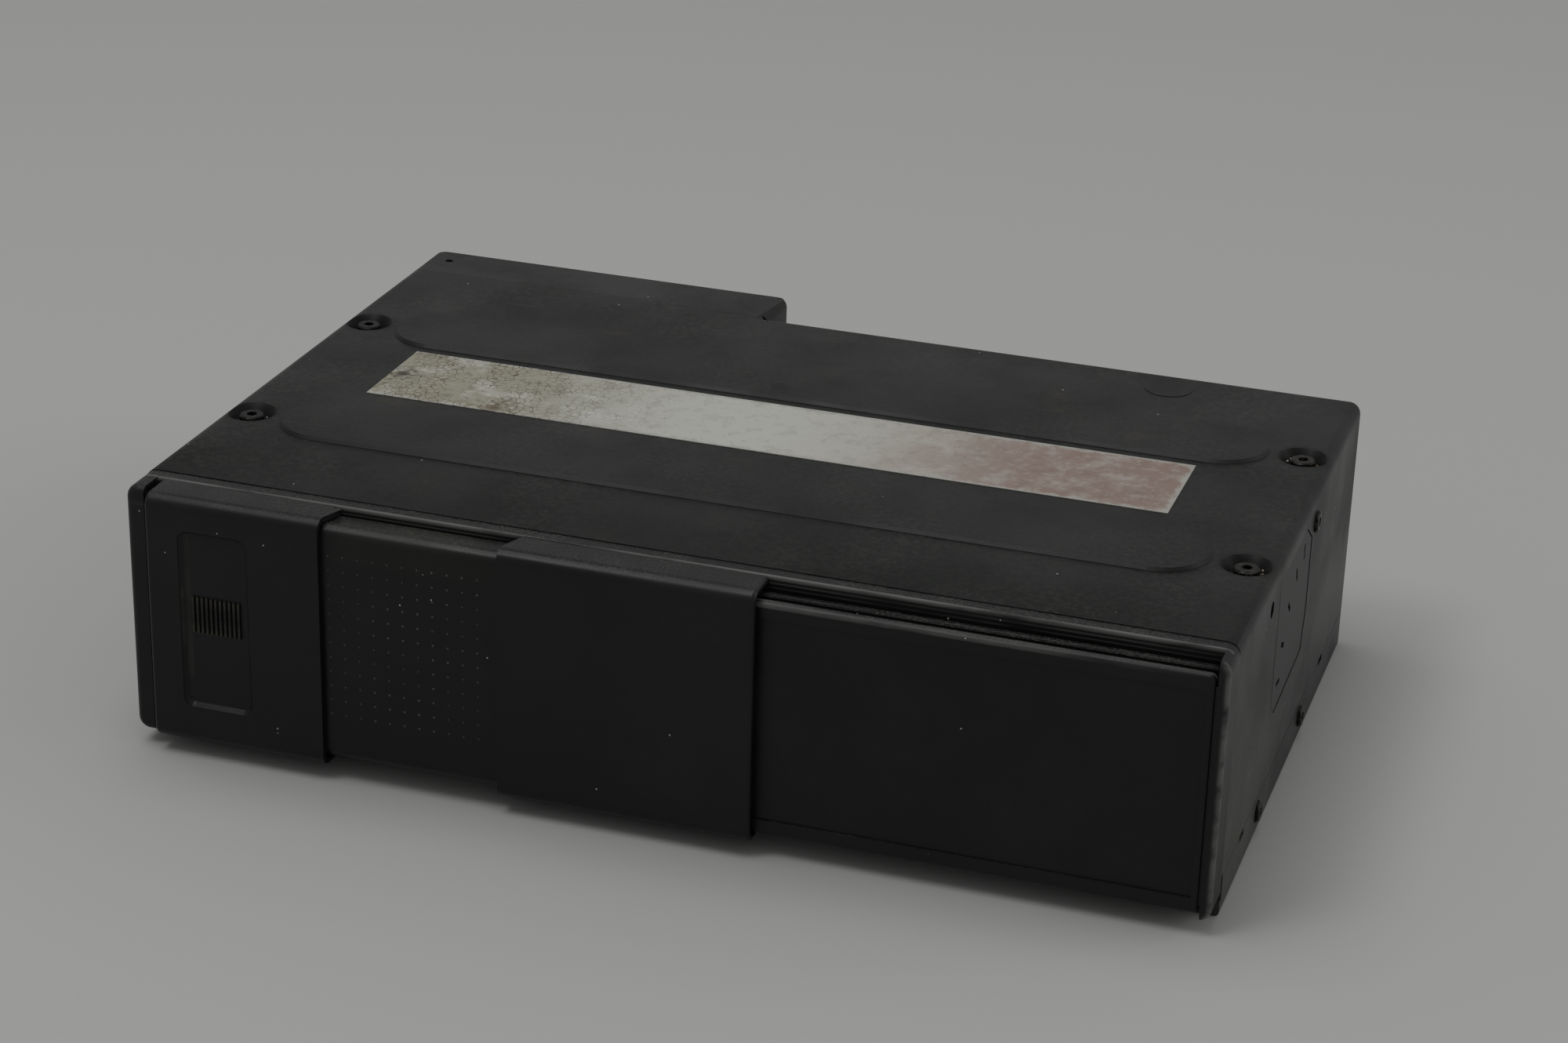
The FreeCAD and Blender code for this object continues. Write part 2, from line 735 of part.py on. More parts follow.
def outer_leaf(x0, x1):
    """A leaf that runs outside the tongue, its hooks in the rear grooves."""
    hook = leaf_gap + tongue_wall + leaf_gap + hook_reach
    return leaf(x0, x1, leaf_front, leaf_low, leaf_high, leaf_wall, hook_rear, hook, leaf_gap + hook_reach)


def door_outer():
    door = outer_leaf(cover_left, cover_right)
    middle = (leaf_low + leaf_high) / 2
    door = rounded(door, 1.0, [(cover_right, leaf_front, middle)])
    nook = prism([(cover_left - 0.1, leaf_front + leaf_rounding, leaf_high - leaf_wall),
                  (cover_left + mitre_reach + leaf_gap, hook_rear + 0.1, leaf_high - leaf_wall),
                  (cover_left - 0.1, hook_rear + 0.1, leaf_high - leaf_wall)], (0, 0, leaf_wall + 0.1))
    return door.cut(nook)


def finger_scoop():
    x0 = grip_left + scoop_start
    y0 = leaf_front - 1
    scoop = box(x0, x0 + scoop_width, y0, leaf_front + scoop_depth, scoop_bottom, scoop_bottom + scoop_height)
    corners = [(x, (y0 + leaf_front) / 2, z) for x in (x0, x0 + scoop_width) for z in (scoop_bottom, scoop_bottom + scoop_height)]
    scoop = rounded(scoop, scoop_corner, corners)
    deep = [e for e in scoop.Edges if abs(e.BoundBox.YMin - leaf_front - scoop_depth) < 0.01]
    return scoop.makeChamfer(scoop_depth * 0.8, deep)


def door_inner():
    grip = outer_leaf(grip_left, tongue_left)
    grip = rounded(grip, 1.0, [(grip_left, leaf_front, (leaf_low + leaf_high) / 2)])
    plate = box(grip_left, tongue_left, leaf_front + leaf_wall / 2, leaf_front + grip_wall, rail_low + 1.5, rail_high - 1.5)
    tongue = leaf(tongue_left - 2.0, cover_left + tongue_lap, tongue_front, tongue_low, tongue_high, tongue_wall,
                  front_groove_rear - leaf_gap, leaf_gap + hook_reach, None)
    tail = box(tongue_left - 2.0, cover_left + tongue_lap, front_groove_rear - leaf_gap - 0.2, rear_groove_front,
               tongue_high - tongue_wall, tongue_high)
    scoop = finger_scoop()
    body = join([grip, plate, tongue, tail]).cut(scoop)
    ribs = []
    middle = grip_left + scoop_start + scoop_width / 2
    floor = leaf_front + scoop_depth
    for k in range(grip_rib_count):
        x = middle + (k - (grip_rib_count - 1) / 2) * grip_rib_pitch
        ribs.append(box(x - grip_rib_width / 2, x + grip_rib_width / 2, floor - grip_rib_height, floor + 0.2,
                        grip_rib_bottom, grip_rib_bottom + grip_rib_length))
    rear = hook_rear - hook_wall
    mitre = prism([(tongue_left, leaf_front + leaf_rounding, leaf_high - leaf_wall),
                   (tongue_left + mitre_reach, rear, leaf_high - leaf_wall), (tongue_left, rear, leaf_high - leaf_wall)],
                  (0, 0, leaf_wall))
    return join([body, mitre] + ribs)


def bezel_block():
    block = box(0, case_width, -bezel_depth, 0, bezel_bottom, bezel_top)
    middle_y = -bezel_depth / 2
    middle_z = (bezel_bottom + bezel_top) / 2
    block = rounded(block, bend_radius, [(x, middle_y, z) for x in (0, case_width) for z in (bezel_bottom, bezel_top)])
    front = [(x, -bezel_depth, middle_z) for x in (0, case_width)]
    return rounded(block, cheek_rounding, front)


def panel_block():
    """The fixed panel with its rounded edges, parted from the right cheek by a fine line."""
    x0, x1 = left_cheek_width - 0.5, inside_right - panel_gap
    panel = box(x0, x1, panel_front, -ring_depth + 0.5, rail_low, rail_high)
    middle = (panel_front - ring_depth) / 2
    panel = rounded(panel, panel_corner, [(x1, middle, rail_low), (x1, middle, rail_high)])
    panel = rounded(panel, panel_edge_rounding, [(case_width / 2, panel_front, z) for z in (rail_low, rail_high)])
    root = box(x1 - 1, inside_right + 0.5, panel_front + panel_line, -ring_depth + 0.5, rail_low + 2, rail_high - groove_depth - 0.5)
    return panel.fuse(root)


def front_bezel():
    block = bezel_block()
    block = block.cut(box(left_cheek_width, inside_right, -bezel_depth - 1, -ring_depth, bezel_bottom - 1, bezel_top + 1))
    block = rounded(block, ring_rounding, [(case_width / 2, -ring_depth, bezel_top)])
    rail = panel_block()
    slot_left = magazine_left - slot_side_gap
    slot_right = magazine_right + slot_side_gap
    groove_floor = rail_high - groove_depth
    cuts = [box(left_cheek_width, inside_right, rear_groove_front, -ring_depth, groove_floor, rail_high + 1)]
    cuts.append(box(left_cheek_width, inside_right, front_groove_front, front_groove_rear, groove_floor, rail_high + 1))
    cuts.append(box(left_cheek_width, inside_right, rear_groove_front, -ring_depth, rail_low - 1, rail_low + groove_depth))
    cuts.append(box(slot_left, slot_right, panel_front - 1, 1, slot_bottom, slot_top))
    pocket_left = slot_right + 6
    cuts.append(box(pocket_left, inside_right - panel_wall, panel_front + panel_wall + panel_recess, 1,
                    rail_low + groove_depth + panel_wall, rail_high - groove_depth - panel_wall))
    cuts.append(box(slot_right + panel_border, inside_right - panel_side_border, panel_front - 1, panel_front + panel_recess,
                    rail_low + panel_border, rail_high - panel_border))
    cuts.append(box(button_left - button_gap, button_left + button_width + button_gap, panel_front - 1, 1,
                    button_bottom - button_gap, button_bottom + button_height + button_gap))
    clips = []
    for x in clip_columns:
        clips.append(box(x, x + clip_width, -1, 5, case_height - sheet - touch_gap - 1.6, case_height - sheet - touch_gap))
    clips += side_pair(box(sheet + touch_gap, sheet + touch_gap + 1.6, -1, 6, 40, 56))
    return take(join([block, rail] + clips), cuts)


def magazine_shell():
    x0, x1 = magazine_left, magazine_right
    y0, y1 = magazine_front, magazine_rear
    body = box(x0, x1, y0, y1, magazine_bottom, magazine_top)
    body = rounded(body, 1.5, [(x0, y0, (magazine_bottom + magazine_top) / 2), (x0, y1, (magazine_bottom + magazine_top) / 2)])
    room = box(x0 + magazine_wall, x1 + 1, y0 + magazine_front_wall, y1 - magazine_wall,
               magazine_bottom + magazine_wall, magazine_top - magazine_wall)
    grip = stadium(0, 46, 0, 12, 0, 5)
    grip.rotate(point(0, 0, 0), point(1, 0, 0), 90)
    grip.translate(point((x0 + x1) / 2 - 23, y0 + 4.5, (magazine_bottom + magazine_top) / 2 - 6))
    body = take(body, [room, grip])
    ledges = []
    for k in range(1, disc_count):
        z = first_tray + k * tray_pitch - tray_gap
        for a, b in ((y0 + magazine_front_wall - 0.5, y0 + magazine_front_wall + ledge_reach),
                     (y1 - magazine_wall - ledge_reach, y1 - magazine_wall + 0.5)):
            ledges.append(box(x0 + 0.5, x1 - 2, a, b, z - ledge_thickness, z))
    return join([body] + ledges)


def tray(z):
    half = tray_side / 2
    x, y = disc_middle_x, disc_middle_y
    plate = box(x - half, x + half, y - half, y + half, z, z + tray_thickness)
    middle = z + tray_thickness / 2
    plate = rounded(plate, tray_corner, [(x + a * half, y + b * half, middle) for a in (-1, 1) for b in (-1, 1)])
    pocket = rod(disc_radius + disc_pocket_gap, (x, y, z + tray_floor), (0, 0, 1), tray_thickness)
    window = box(x - tray_window_width / 2, x + tray_window_width / 2, y, y + tray_window_reach, z - 1, z + tray_floor + 1)
    return take(plate, [pocket, rod(tray_hole, (x, y, z - 1), (0, 0, 1), tray_thickness), window])


def disc(z):
    x, y = disc_middle_x, disc_middle_y
    body = rod(disc_radius, (x, y, z + tray_floor), (0, 0, 1), disc_thickness)
    return body.cut(rod(disc_bore, (x, y, z), (0, 0, 1), disc_thickness + 4))


def tooth_outline(module, teeth, phase):
    """Outline of a spur gear with involute flanks, thinned by the backlash, as points in a plane."""
    pitch = module * teeth / 2
    angle = math.radians(pressure_angle)
    base = pitch * math.cos(angle)
    tip = pitch + module * 0.85
    root = pitch - module * 1.15
    half = math.pi / (2 * teeth) - backlash / (4 * pitch)

    def roll(radius):
        a = math.acos(min(1.0, base / radius))
        return math.tan(a) - a

    rows = []
    for radius in (root, max(base, root), pitch, (pitch + tip) / 2, tip):
        spread = half + roll(pitch) - roll(max(radius, base))
        rows.append((radius, spread))
    points = []
    for k in range(teeth):
        middle = math.radians(phase) + 2 * math.pi * k / teeth
        for radius, spread in rows:
            points.append((radius, middle - spread))
        for radius, spread in reversed(rows):
            points.append((radius, middle + spread))
    return [(r * math.cos(a), r * math.sin(a)) for r, a in points]


def gear(module, teeth, phase, x, z, y0, face, bore):
    """A spur gear on an axis along y."""
    points = [(x + a, y0, z + b) for a, b in tooth_outline(module, teeth, phase)]
    body = prism(points, (0, face, 0))
    return body.cut(rod(bore, (x, y0 - 1, z), (0, 1, 0), face + 2))


def pinion_phase():
    """A tooth gap of the lift pinion faces straight up, into a tooth of the rack."""
    return 90 + 180 / lift_teeth


def rack_teeth(y0):
    """Teeth under a lift slide, one of them straight above the lift shaft at rest."""
    pitch = math.pi * lift_module
    slope = math.tan(math.radians(pressure_angle))
    half = pitch / 4 - backlash / 4
    count_left = int((lift_down + 4.0) / pitch)
    count_right = int((slide_right - shaft_column - 1.0) / pitch)
    teeth = []
    for k in range(-count_left, count_right + 1):
        x = shaft_column + k * pitch
        low = slide_height - rack_addendum
        high = slide_bottom + 0.4
        narrow = half - rack_addendum * slope
        wide = half + rack_root * slope
        teeth.append(prism([(x - narrow, y0, low), (x + narrow, y0, low), (x + wide, y0, slide_bottom),
                            (x + wide, y0, high), (x - wide, y0, high), (x - wide, y0, slide_bottom)],
                           (0, slide_sheet, 0)))
    return teeth


def slanted_slot(x, y0):
    """The slot that carries a deck pin: it climbs as far as the slide moves."""
    radius = lift_pin_radius + slot_clear
    reach = lift_down + lift_up
    slot = box(0, reach * math.sqrt(2), y0 - 1, y0 + slide_sheet + 1, -radius, radius)
    slot.rotate(point(0, 0, 0), point(0, 1, 0), -45)
    slot.translate(point(x - lift_down, 0, lift_pin_height - lift_down))
    ends = [rod(radius, (x - d, y0 - 1, lift_pin_height - d), (0, 1, 0), slide_sheet + 2) for d in (lift_down, -lift_up)]
    return join([slot] + ends)


def lift_slide(y0):
    body = box(slide_left, slide_right, y0, y0 + slide_sheet, slide_bottom, slide_top)
    cuts = [slanted_slot(x, y0) for x in lift_pin_columns]
    stud_z = slide_bottom + stud_rise
    radius = lift_pin_radius + slot_clear
    low, high = stud_column - lift_down, stud_column + lift_up
    cuts.append(box(low, high, y0 - 1, y0 + slide_sheet + 1, stud_z - radius, stud_z + radius))
    cuts += [rod(radius, (x, y0 - 1, stud_z), (0, 1, 0), slide_sheet + 2) for x in (low, high)]
    return take(join([body] + rack_teeth(y0)), cuts)


def slide_front_y():
    return front_wall - slide_gap - slide_sheet


def slide_rear_y():
    return rear_wall + wall_sheet + slide_gap


def lift_shaft():
    return rod(shaft_radius, (shaft_column, slide_front_y() - 1.6, shaft_height), (0, 1, 0),
               slide_rear_y() + 6.8 - slide_front_y())


def pinion_start(slide_y):
    return slide_y + slide_sheet / 2 - gear_face / 2


def lift_pinion(slide_y):
    return gear(lift_module, lift_teeth, pinion_phase(), shaft_column, shaft_height, pinion_start(slide_y), gear_face, shaft_radius)


def drive_front():
    return slide_rear_y() + slide_sheet / 2 + gear_face / 2 + 1.0


def drive_wheel():
    return gear(drive_module, drive_wheel_teeth, drive_angle, shaft_column, shaft_height, drive_front(), drive_face, shaft_radius)


def drive_pinion():
    phase = drive_angle + 180 + 180 / drive_pinion_teeth
    return gear(drive_module, drive_pinion_teeth, phase, motor_column, motor_height, drive_front(), drive_face, motor_shaft_radius)


def drive_pinion_shaft():
    y0 = rear_wall - 2.0
    return rod(motor_shaft_radius, (motor_column, y0, motor_height), (0, 1, 0), drive_front() + drive_face + 0.5 - y0)


def lift_motor():
    y1 = rear_wall - touch_gap
    body = rod(motor_radius, (motor_column, y1 - motor_length, motor_height), (0, 1, 0), motor_length)
    ends = [e for e in body.Edges if e.BoundBox.YLength < 0.01]
    body = body.makeChamfer(0.8, ends)
    flat = box(motor_column - 9, motor_column + 9, y1 - motor_length - 1, y1 + 1, motor_height + 6.4, motor_height + 9)
    return take(body, [flat, rod(motor_shaft_radius + running, (motor_column, y1 - 4, motor_height), (0, 1, 0), 5)])


def player_wall(y0, outward):
    """A wall beside the player: slots guide the deck pins, a stud and hooks guide the slide."""
    wall = box(player_left, chassis_right, y0, y0 + wall_sheet, chassis_bottom, wall_top)
    outer = y0 if outward < 0 else y0 + wall_sheet
    far = outer + outward * (slide_gap + slide_sheet + slide_gap)
    adds = [wall]
    stud_z = slide_bottom + stud_rise
    along = (0, outward, 0)
    adds.append(rod(lift_pin_radius, (stud_column, y0 + wall_sheet / 2, stud_z), along, abs(far - y0 - wall_sheet / 2)))
    adds.append(rod(lift_pin_radius + 1.2, (stud_column, far - outward * 0.02, stud_z), along, 0.6))
    for x in (slide_left + lift_down + 3.0, slide_right - 12.0):
        lo, hi = sorted((y0 + wall_sheet / 2, far + outward * 0.8))
        adds.append(box(x, x + 6, lo, hi, slide_top + 0.2, slide_top + 1.2))
        lo, hi = sorted((far, far + outward * 0.8))
        adds.append(box(x, x + 6, lo, hi, slide_top - 2.0, slide_top + 1.2))
    cuts = [rod(shaft_radius + running, (shaft_column, y0 - 1, shaft_height), (0, 1, 0), 3)]
    radius = lift_pin_radius + slot_clear
    for x in lift_pin_columns:
        low, high = lift_pin_height - lift_down, lift_pin_height + lift_up
        cuts.append(box(x - radius, x + radius, y0 - 1, y0 + 2, low, high))
        cuts += [rod(radius, (x, y0 - 1, z), (0, 1, 0), 3) for z in (low, high)]
    if outward > 0:
        cuts.append(rod(motor_shaft_radius + 1.5, (motor_column, y0 - 1, motor_height), (0, 1, 0), 3))
    return take(join(adds), cuts)


def mech_chassis():
    floor = box(chassis_left, chassis_right, chassis_front, chassis_rear, chassis_bottom, chassis_floor)
    floor = floor.cut(box(board_window_left, board_window_right, board_window_front, board_window_rear,
                          chassis_bottom - 1, chassis_floor + 1))
    ledge_top = magazine_bottom - tray_gap
    flange_bottom = magazine_top + 3.0
    flange_top = flange_bottom + chassis_sheet
    left = chassis_left + chassis_sheet
    rail = board_window_right + 1.0
    adds = [floor, player_wall(front_wall, -1), player_wall(rear_wall, 1)]
    adds.append(box(chassis_left, left, chassis_front, chassis_rear, chassis_bottom, flange_top))
    adds.append(box(chassis_left, chassis_left + bay_flange + 1, chassis_front, chassis_rear, flange_bottom, flange_top))
    adds.append(box(chassis_left, left + 7, chassis_front, chassis_rear, ledge_top - 1.0, ledge_top))
    adds.append(box(rail, rail + chassis_sheet, chassis_front, chassis_rear, chassis_bottom, ledge_top))
    adds.append(box(rail - 6, rail + chassis_sheet, chassis_front, chassis_rear, ledge_top - 1.0, ledge_top))
    stop = magazine_rear + 2.0
    stop_end = slide_left - lift_up - 1.0
    adds.append(box(chassis_left, stop_end, stop, stop + chassis_sheet, chassis_bottom, flange_top))
    adds.append(box(rail - 2, player_left + 1.4, front_wall, rear_wall + wall_sheet, flange_bottom, flange_top))
    adds.append(box(rail - 2, stop_end, rear_wall, stop + chassis_sheet, flange_bottom, flange_top))
    adds.append(box(motor_column - 5, motor_column + 5, rear_wall - motor_length + 2, rear_wall - 4, chassis_floor - 0.3, motor_height - 5))
    cuts = [rod(motor_radius + touch_gap, (motor_column, rear_wall - motor_length - 1, motor_height), (0, 1, 0), motor_length + 1)]
    for x, y in damper_places():
        adds.append(rod(damper_pin_radius, (x, y, damper_pin_end), (0, 0, 1), chassis_floor - damper_pin_end))
    return join([take(join(adds[:3]), cuts)] + [take(join(adds[3:]), cuts)])


def damper_places():
    columns = (chassis_left + damper_inset + 0.7, chassis_right - damper_inset + 0.3)
    rows = (chassis_front + damper_inset + 0.3, chassis_rear - damper_inset - 0.3)
    return [(x, y) for x in columns for y in rows]


def dampers():
    cups = []
    for x, y in damper_places():
        base = rod(damper_radius, (x, y, sheet), (0, 0, 1), damper_height)
        rim = [e for e in base.Edges if abs(e.BoundBox.ZMin - sheet - damper_height) < 0.01]
        base = base.makeChamfer(1.6, rim)
        well = rod(damper_pin_radius + damper_pin_gap, (x, y, sheet + 0.8), (0, 0, 1), damper_height)
        cups.append(base.cut(well))
    return cups


def wire_section(angle, z):
    """A many-sided section of the spring wire, upright, at an angle round the coil."""
    out = (math.cos(angle), math.sin(angle))
    ring = []
    for k in range(wire_sides):
        a = 2 * math.pi * (k + 0.5) / wire_sides
        radius = spring_radius + spring_wire * math.cos(a)
        ring.append(point(radius * out[0], radius * out[1], z + spring_wire * math.sin(a)))
    return Part.makePolygon(ring + ring[:1])


def suspension_springs():
    low = sheet + spring_wire + touch_gap
    high = chassis_bottom - spring_wire - touch_gap
    steps = int(spring_turns * spring_steps)
    sections = []
    for k in range(steps + 1):
        sections.append(wire_section(2 * math.pi * k / spring_steps, low + (high - low) * k / steps))
    coil = Part.makeLoft(sections, True, True)
    return [coil.translated(point(x, y, 0)) for x, y in damper_places()]


def pin_reach():
    return slide_gap * 2 + slide_sheet + wall_sheet + 0.6


def player_deck():
    front = front_wall + wall_sheet + 0.6
    rear = rear_wall - 0.6
    plate = box(deck_left, deck_right, front, rear, deck_bottom, deck_top)
    adds = [plate]
    flange_top = deck_bottom + flange_rise
    adds.append(box(deck_left + 4, deck_right, front, front + 1, deck_bottom, flange_top))
    adds.append(box(deck_left + 4, deck_right, rear - 1, rear, deck_bottom, flange_top))
    for x in lift_pin_columns:
        adds.append(rod(lift_pin_radius, (x, front + 0.5, lift_pin_height), (0, -1, 0), pin_reach() + 0.6 + 0.5))
        adds.append(rod(lift_pin_radius, (x, rear - 0.5, lift_pin_height), (0, 1, 0), pin_reach() + 0.6 + 0.5))
    cuts = [rod(5.0, (spindle_x, disc_middle_y, deck_bottom - 1), (0, 0, 1), 4)]
    cuts.append(box(spindle_x - 6.5, spindle_x + 6.5, disc_middle_y + 12.5, rod_rear - 2.2, deck_bottom - 1, deck_top + 1))
    cuts.append(rod(8.0, (deck_left + 12, 34, deck_bottom - 1), (0, 0, 1), 4))
    cuts.append(rod(8.0, (deck_right - 14, 34, deck_bottom - 1), (0, 0, 1), 4))
    for x in rod_columns + (screw_column,):
        for y in (rod_front, rod_rear):
            if x == screw_column and y == rod_front:
                continue
            adds.append(box(x - 2.2, x + 2.2, y - 2, y, rod_height_z - 2.2, deck_bottom + 0.3))
            cuts.append(rod(rod_radius + touch_gap, (x, y - 3, rod_height_z), (0, 1, 0), 4))
    for x in clamp_lugs():
        lug = box(x, x + clamp_arm_sheet, clamp_hinge_row - 3.5, rear - 0.5, hinge_height - 3.5, hinge_height + 3.0)
        adds.append(lug)
        cuts.append(rod(1.5 + touch_gap, (x - 1, clamp_hinge_row, hinge_height), (1, 0, 0), 3))
    web_low, web_high = clamp_lugs()
    adds.append(box(web_low, web_high + clamp_arm_sheet, rear - 1, rear, flange_top - 1, hinge_height + 3.0))
    return take(join(adds), cuts)


def clamp_lugs():
    half = clamp_arm_width / 2 + 0.4
    return spindle_x - half - clamp_arm_sheet, spindle_x + half


def clamp_pin():
    x0, x1 = clamp_lugs()
    return rod(1.5, (x0 - 0.6, clamp_hinge_row, hinge_height), (1, 0, 0), x1 - x0 + clamp_arm_sheet + 1.2)


def raised(shape):
    shape.rotate(point(0, clamp_hinge_row, hinge_height), point(1, 0, 0), -clamp_tilt)
    return shape


def clamp_arm():
    half = clamp_arm_width / 2
    x0, x1 = spindle_x - half, spindle_x + half
    front = disc_middle_y - 8.5
    plate = box(x0, x1, front, clamp_hinge_row - 4, arm_bottom, arm_bottom + clamp_arm_sheet)
    plate = rounded(plate, 6.0, [(x, front, arm_bottom + clamp_arm_sheet / 2) for x in (x0, x1)])
    adds = [plate]
    for x in (x0, x1 - clamp_arm_sheet):
        adds.append(box(x, x + clamp_arm_sheet, clamp_hinge_row - 30, clamp_hinge_row + 1, arm_bottom, arm_bottom + 3.2))
        adds.append(box(x, x + clamp_arm_sheet, clamp_hinge_row - 6, clamp_hinge_row + 3, arm_bottom, hinge_height + 2.6))
    cuts = [rod(puck_neck_radius + 0.4, (spindle_x, disc_middle_y, arm_bottom - 1), (0, 0, 1), 4)]
    cuts.append(rod(1.5 + running, (x0 - 1, clamp_hinge_row, hinge_height), (1, 0, 0), clamp_arm_width + 2))
    return raised(take(join(adds), cuts))


def clamp_puck():
    x, y = spindle_x, disc_middle_y
    body = rod(puck_radius, (x, y, puck_bottom), (0, 0, 1), puck_height)
    neck = rod(puck_neck_radius, (x, y, puck_bottom + puck_height - 0.2), (0, 0, 1), 2 * puck_play + clamp_arm_sheet + 0.4)
    cap_z = puck_bottom + puck_height + 2 * puck_play + clamp_arm_sheet
    cap = rod(puck_cap_radius, (x, y, cap_z), (0, 0, 1), puck_cap_height)
    eye = rod(boss_radius + 0.5, (x, y, puck_bottom - 1), (0, 0, 1), 1 + boss_height + 0.5)
    return raised(join([body, neck, cap]).cut(eye))


def turntable():
    x, y = spindle_x, disc_middle_y
    hub = rod(hub_radius, (x, y, hub_top - hub_thickness), (0, 0, 1), hub_thickness)
    boss = Part.makeCone(boss_radius, boss_radius - 0.9, boss_height, point(x, y, hub_top))
    collar = rod(3.5, (x, y, deck_bottom + 0.3), (0, 0, 1), hub_top - deck_bottom - 0.4)
    spindle = rod(spindle_radius, (x, y, deck_bottom - spindle_motor_height + 1.6), (0, 0, 1), spindle_motor_height)
    return join([hub, boss, collar, spindle])


def spindle_motor():
    x, y = spindle_x, disc_middle_y
    can = rod(spindle_motor_radius, (x, y, deck_bottom - spindle_motor_height), (0, 0, 1), spindle_motor_height)
    rim = [e for e in can.Edges if abs(e.BoundBox.ZMax - deck_bottom + spindle_motor_height) < 0.01]
    can = can.makeChamfer(0.8, rim)
    bore = rod(spindle_radius + running, (x, y, deck_bottom - spindle_motor_height + 1.4), (0, 0, 1), spindle_motor_height)
    return can.cut(bore)


def guide_rods():
    length = rod_rear - rod_front + 2.6
    return [rod(rod_radius, (x, rod_front - 2.3, rod_height_z), (0, 1, 0), length) for x in rod_columns]


def sled_motor_end():
    return disc_middle_y - sled_motor_width / 2


def sled_motor():
    y1 = sled_motor_end()
    half = sled_motor_width / 2
    body = box(screw_column - half, screw_column + half, y1 - sled_motor_length, y1, deck_bottom - sled_motor_height, deck_bottom)
    sides = [(screw_column + s * half, y1 - sled_motor_length / 2, deck_bottom - sled_motor_height) for s in (-1, 1)]
    body = rounded(body, 1.5, sides)
    return body.cut(rod(rod_radius + running, (screw_column, y1 - 3, rod_height_z), (0, 1, 0), 4))


def lead_screw():
    y0 = sled_motor_end() - 2.5
    return rod(rod_radius, (screw_column, y0, rod_height_z), (0, 1, 0), rod_rear + 0.3 - y0)


def pickup_sled():
    y0, y1 = sled_front, sled_front + sled_length
    top = deck_bottom - 0.5
    body = box(sled_left, sled_right, y0, y1, top - sled_height, top)
    x = spindle_x
    head = box(x - 6, x + 6, y0 + 4, y1 - 0.3, top - 0.2, top + 1.4)
    body = join([body, head])
    bores = [rod(rod_radius + running, (c, y0 - 1, rod_height_z), (0, 1, 0), sled_length + 2) for c in rod_columns + (screw_column,)]
    well = rod(lens_radius + 0.4, (x, y0 + lens_offset - 1, top - 1.5), (0, 0, 1), 4)
    return take(body, bores + [well])


def pickup_lens():
    x, y = spindle_x, sled_front + lens_offset - 1
    top = deck_bottom - 0.5
    barrel = rod(lens_radius, (x, y, top - 1.5), (0, 0, 1), 2.6)
    dome = Part.makeSphere(4.2, point(x, y, top - 1.6)).common(rod(lens_radius - 0.9, (x, y, top), (0, 0, 1), 4))
    return join([barrel, dome])


def board_posts():
    return [(x, y) for x in (board_left + 4, board_right - 4) for y in (board_front + 4, board_rear - 4)]


def main_board():
    z = sheet + board_rise
    board = box(board_left, board_right, board_front, board_rear, z, z + board_thickness)
    return take(board, [rod(1.2, (x, y, z - 1), (0, 0, 1), 4) for x, y in board_posts()])


def board_parts():
    z = sheet + board_rise + board_thickness
    parts = []
    for x, y, w, d, h in chips:
        x0, y0 = board_left + x, board_front + y
        parts.append(box(x0, x0 + w, y0, y0 + d, z, z + h))
    for x, y in cans:
        can = rod(can_radius, (board_left + x, board_front + y, z), (0, 0, 1), can_height)
        parts.append(can.makeChamfer(0.5, [e for e in can.Edges if abs(e.BoundBox.ZMin - z - can_height) < 0.01]))
    return parts


def signal_socket():
    x1 = hood_width - 0.2
    x0 = x1 - socket_block
    half = socket_radius + socket_wall + 2.0
    y, z = socket_row, socket_height
    hood_room = hood_depth / 2 - sheet - 0.4
    flat = min(half, hood_room)
    block = box(x0, hood_width - sheet - 0.1, y - flat, y + flat, z - half, z + half)
    block = rounded(block, 2.5, [(hood_width - sheet - 0.1, y + flat, z)])
    nose = rod(socket_radius + socket_wall, (x0 + 2, y, z), (1, 0, 0), socket_block - 2)
    well = rod(socket_radius, (x1 - socket_depth, y, z), (1, 0, 0), socket_depth + 1)
    foot = box(x0, x0 + 6, y - flat, y + flat, sheet, z - half + 0.5)
    return join([block, nose, foot]).cut(well)


def socket_pins():
    pins = []
    x0 = hood_width - 0.2 - socket_depth
    for k in range(socket_pin_count):
        a = math.radians(30 + 240 * k / (socket_pin_count - 1) + 30)
        y = socket_row + socket_pin_circle * math.cos(a)
        z = socket_height + socket_pin_circle * math.sin(a)
        pins.append(rod(socket_pin_radius, (x0, y, z), (1, 0, 0), socket_pin_length))
    return pins


def transport_seals():
    return [rod(seal_radius, (x, y, 0.03), (0, 0, 1), seal_thickness) for x, y in transport_places]


def eject_button():
    x0, x1 = button_left, button_left + button_width
    z0, z1 = button_bottom, button_bottom + button_height
    cap = box(x0, x1, -button_front, -1.0, z0, z1)
    cap = rounded(cap, 0.8, [((x0 + x1) / 2, -button_front, z) for z in (z0, z1)])
    stem = box(rod_left, rod_left + rod_width, -1.5, 0.5, rod_bottom, min(rod_bottom + rod_height, z1))
    return join([cap, stem])


def eject_rod():
    bar = box(rod_left, rod_left + rod_width, 0.8, rod_end, rod_bottom, rod_bottom + rod_height)
    toe = box(rod_left, rod_left + rod_width, rod_end - 4, rod_end, rod_bottom, rod_bottom + 5)
    return join([bar, toe])


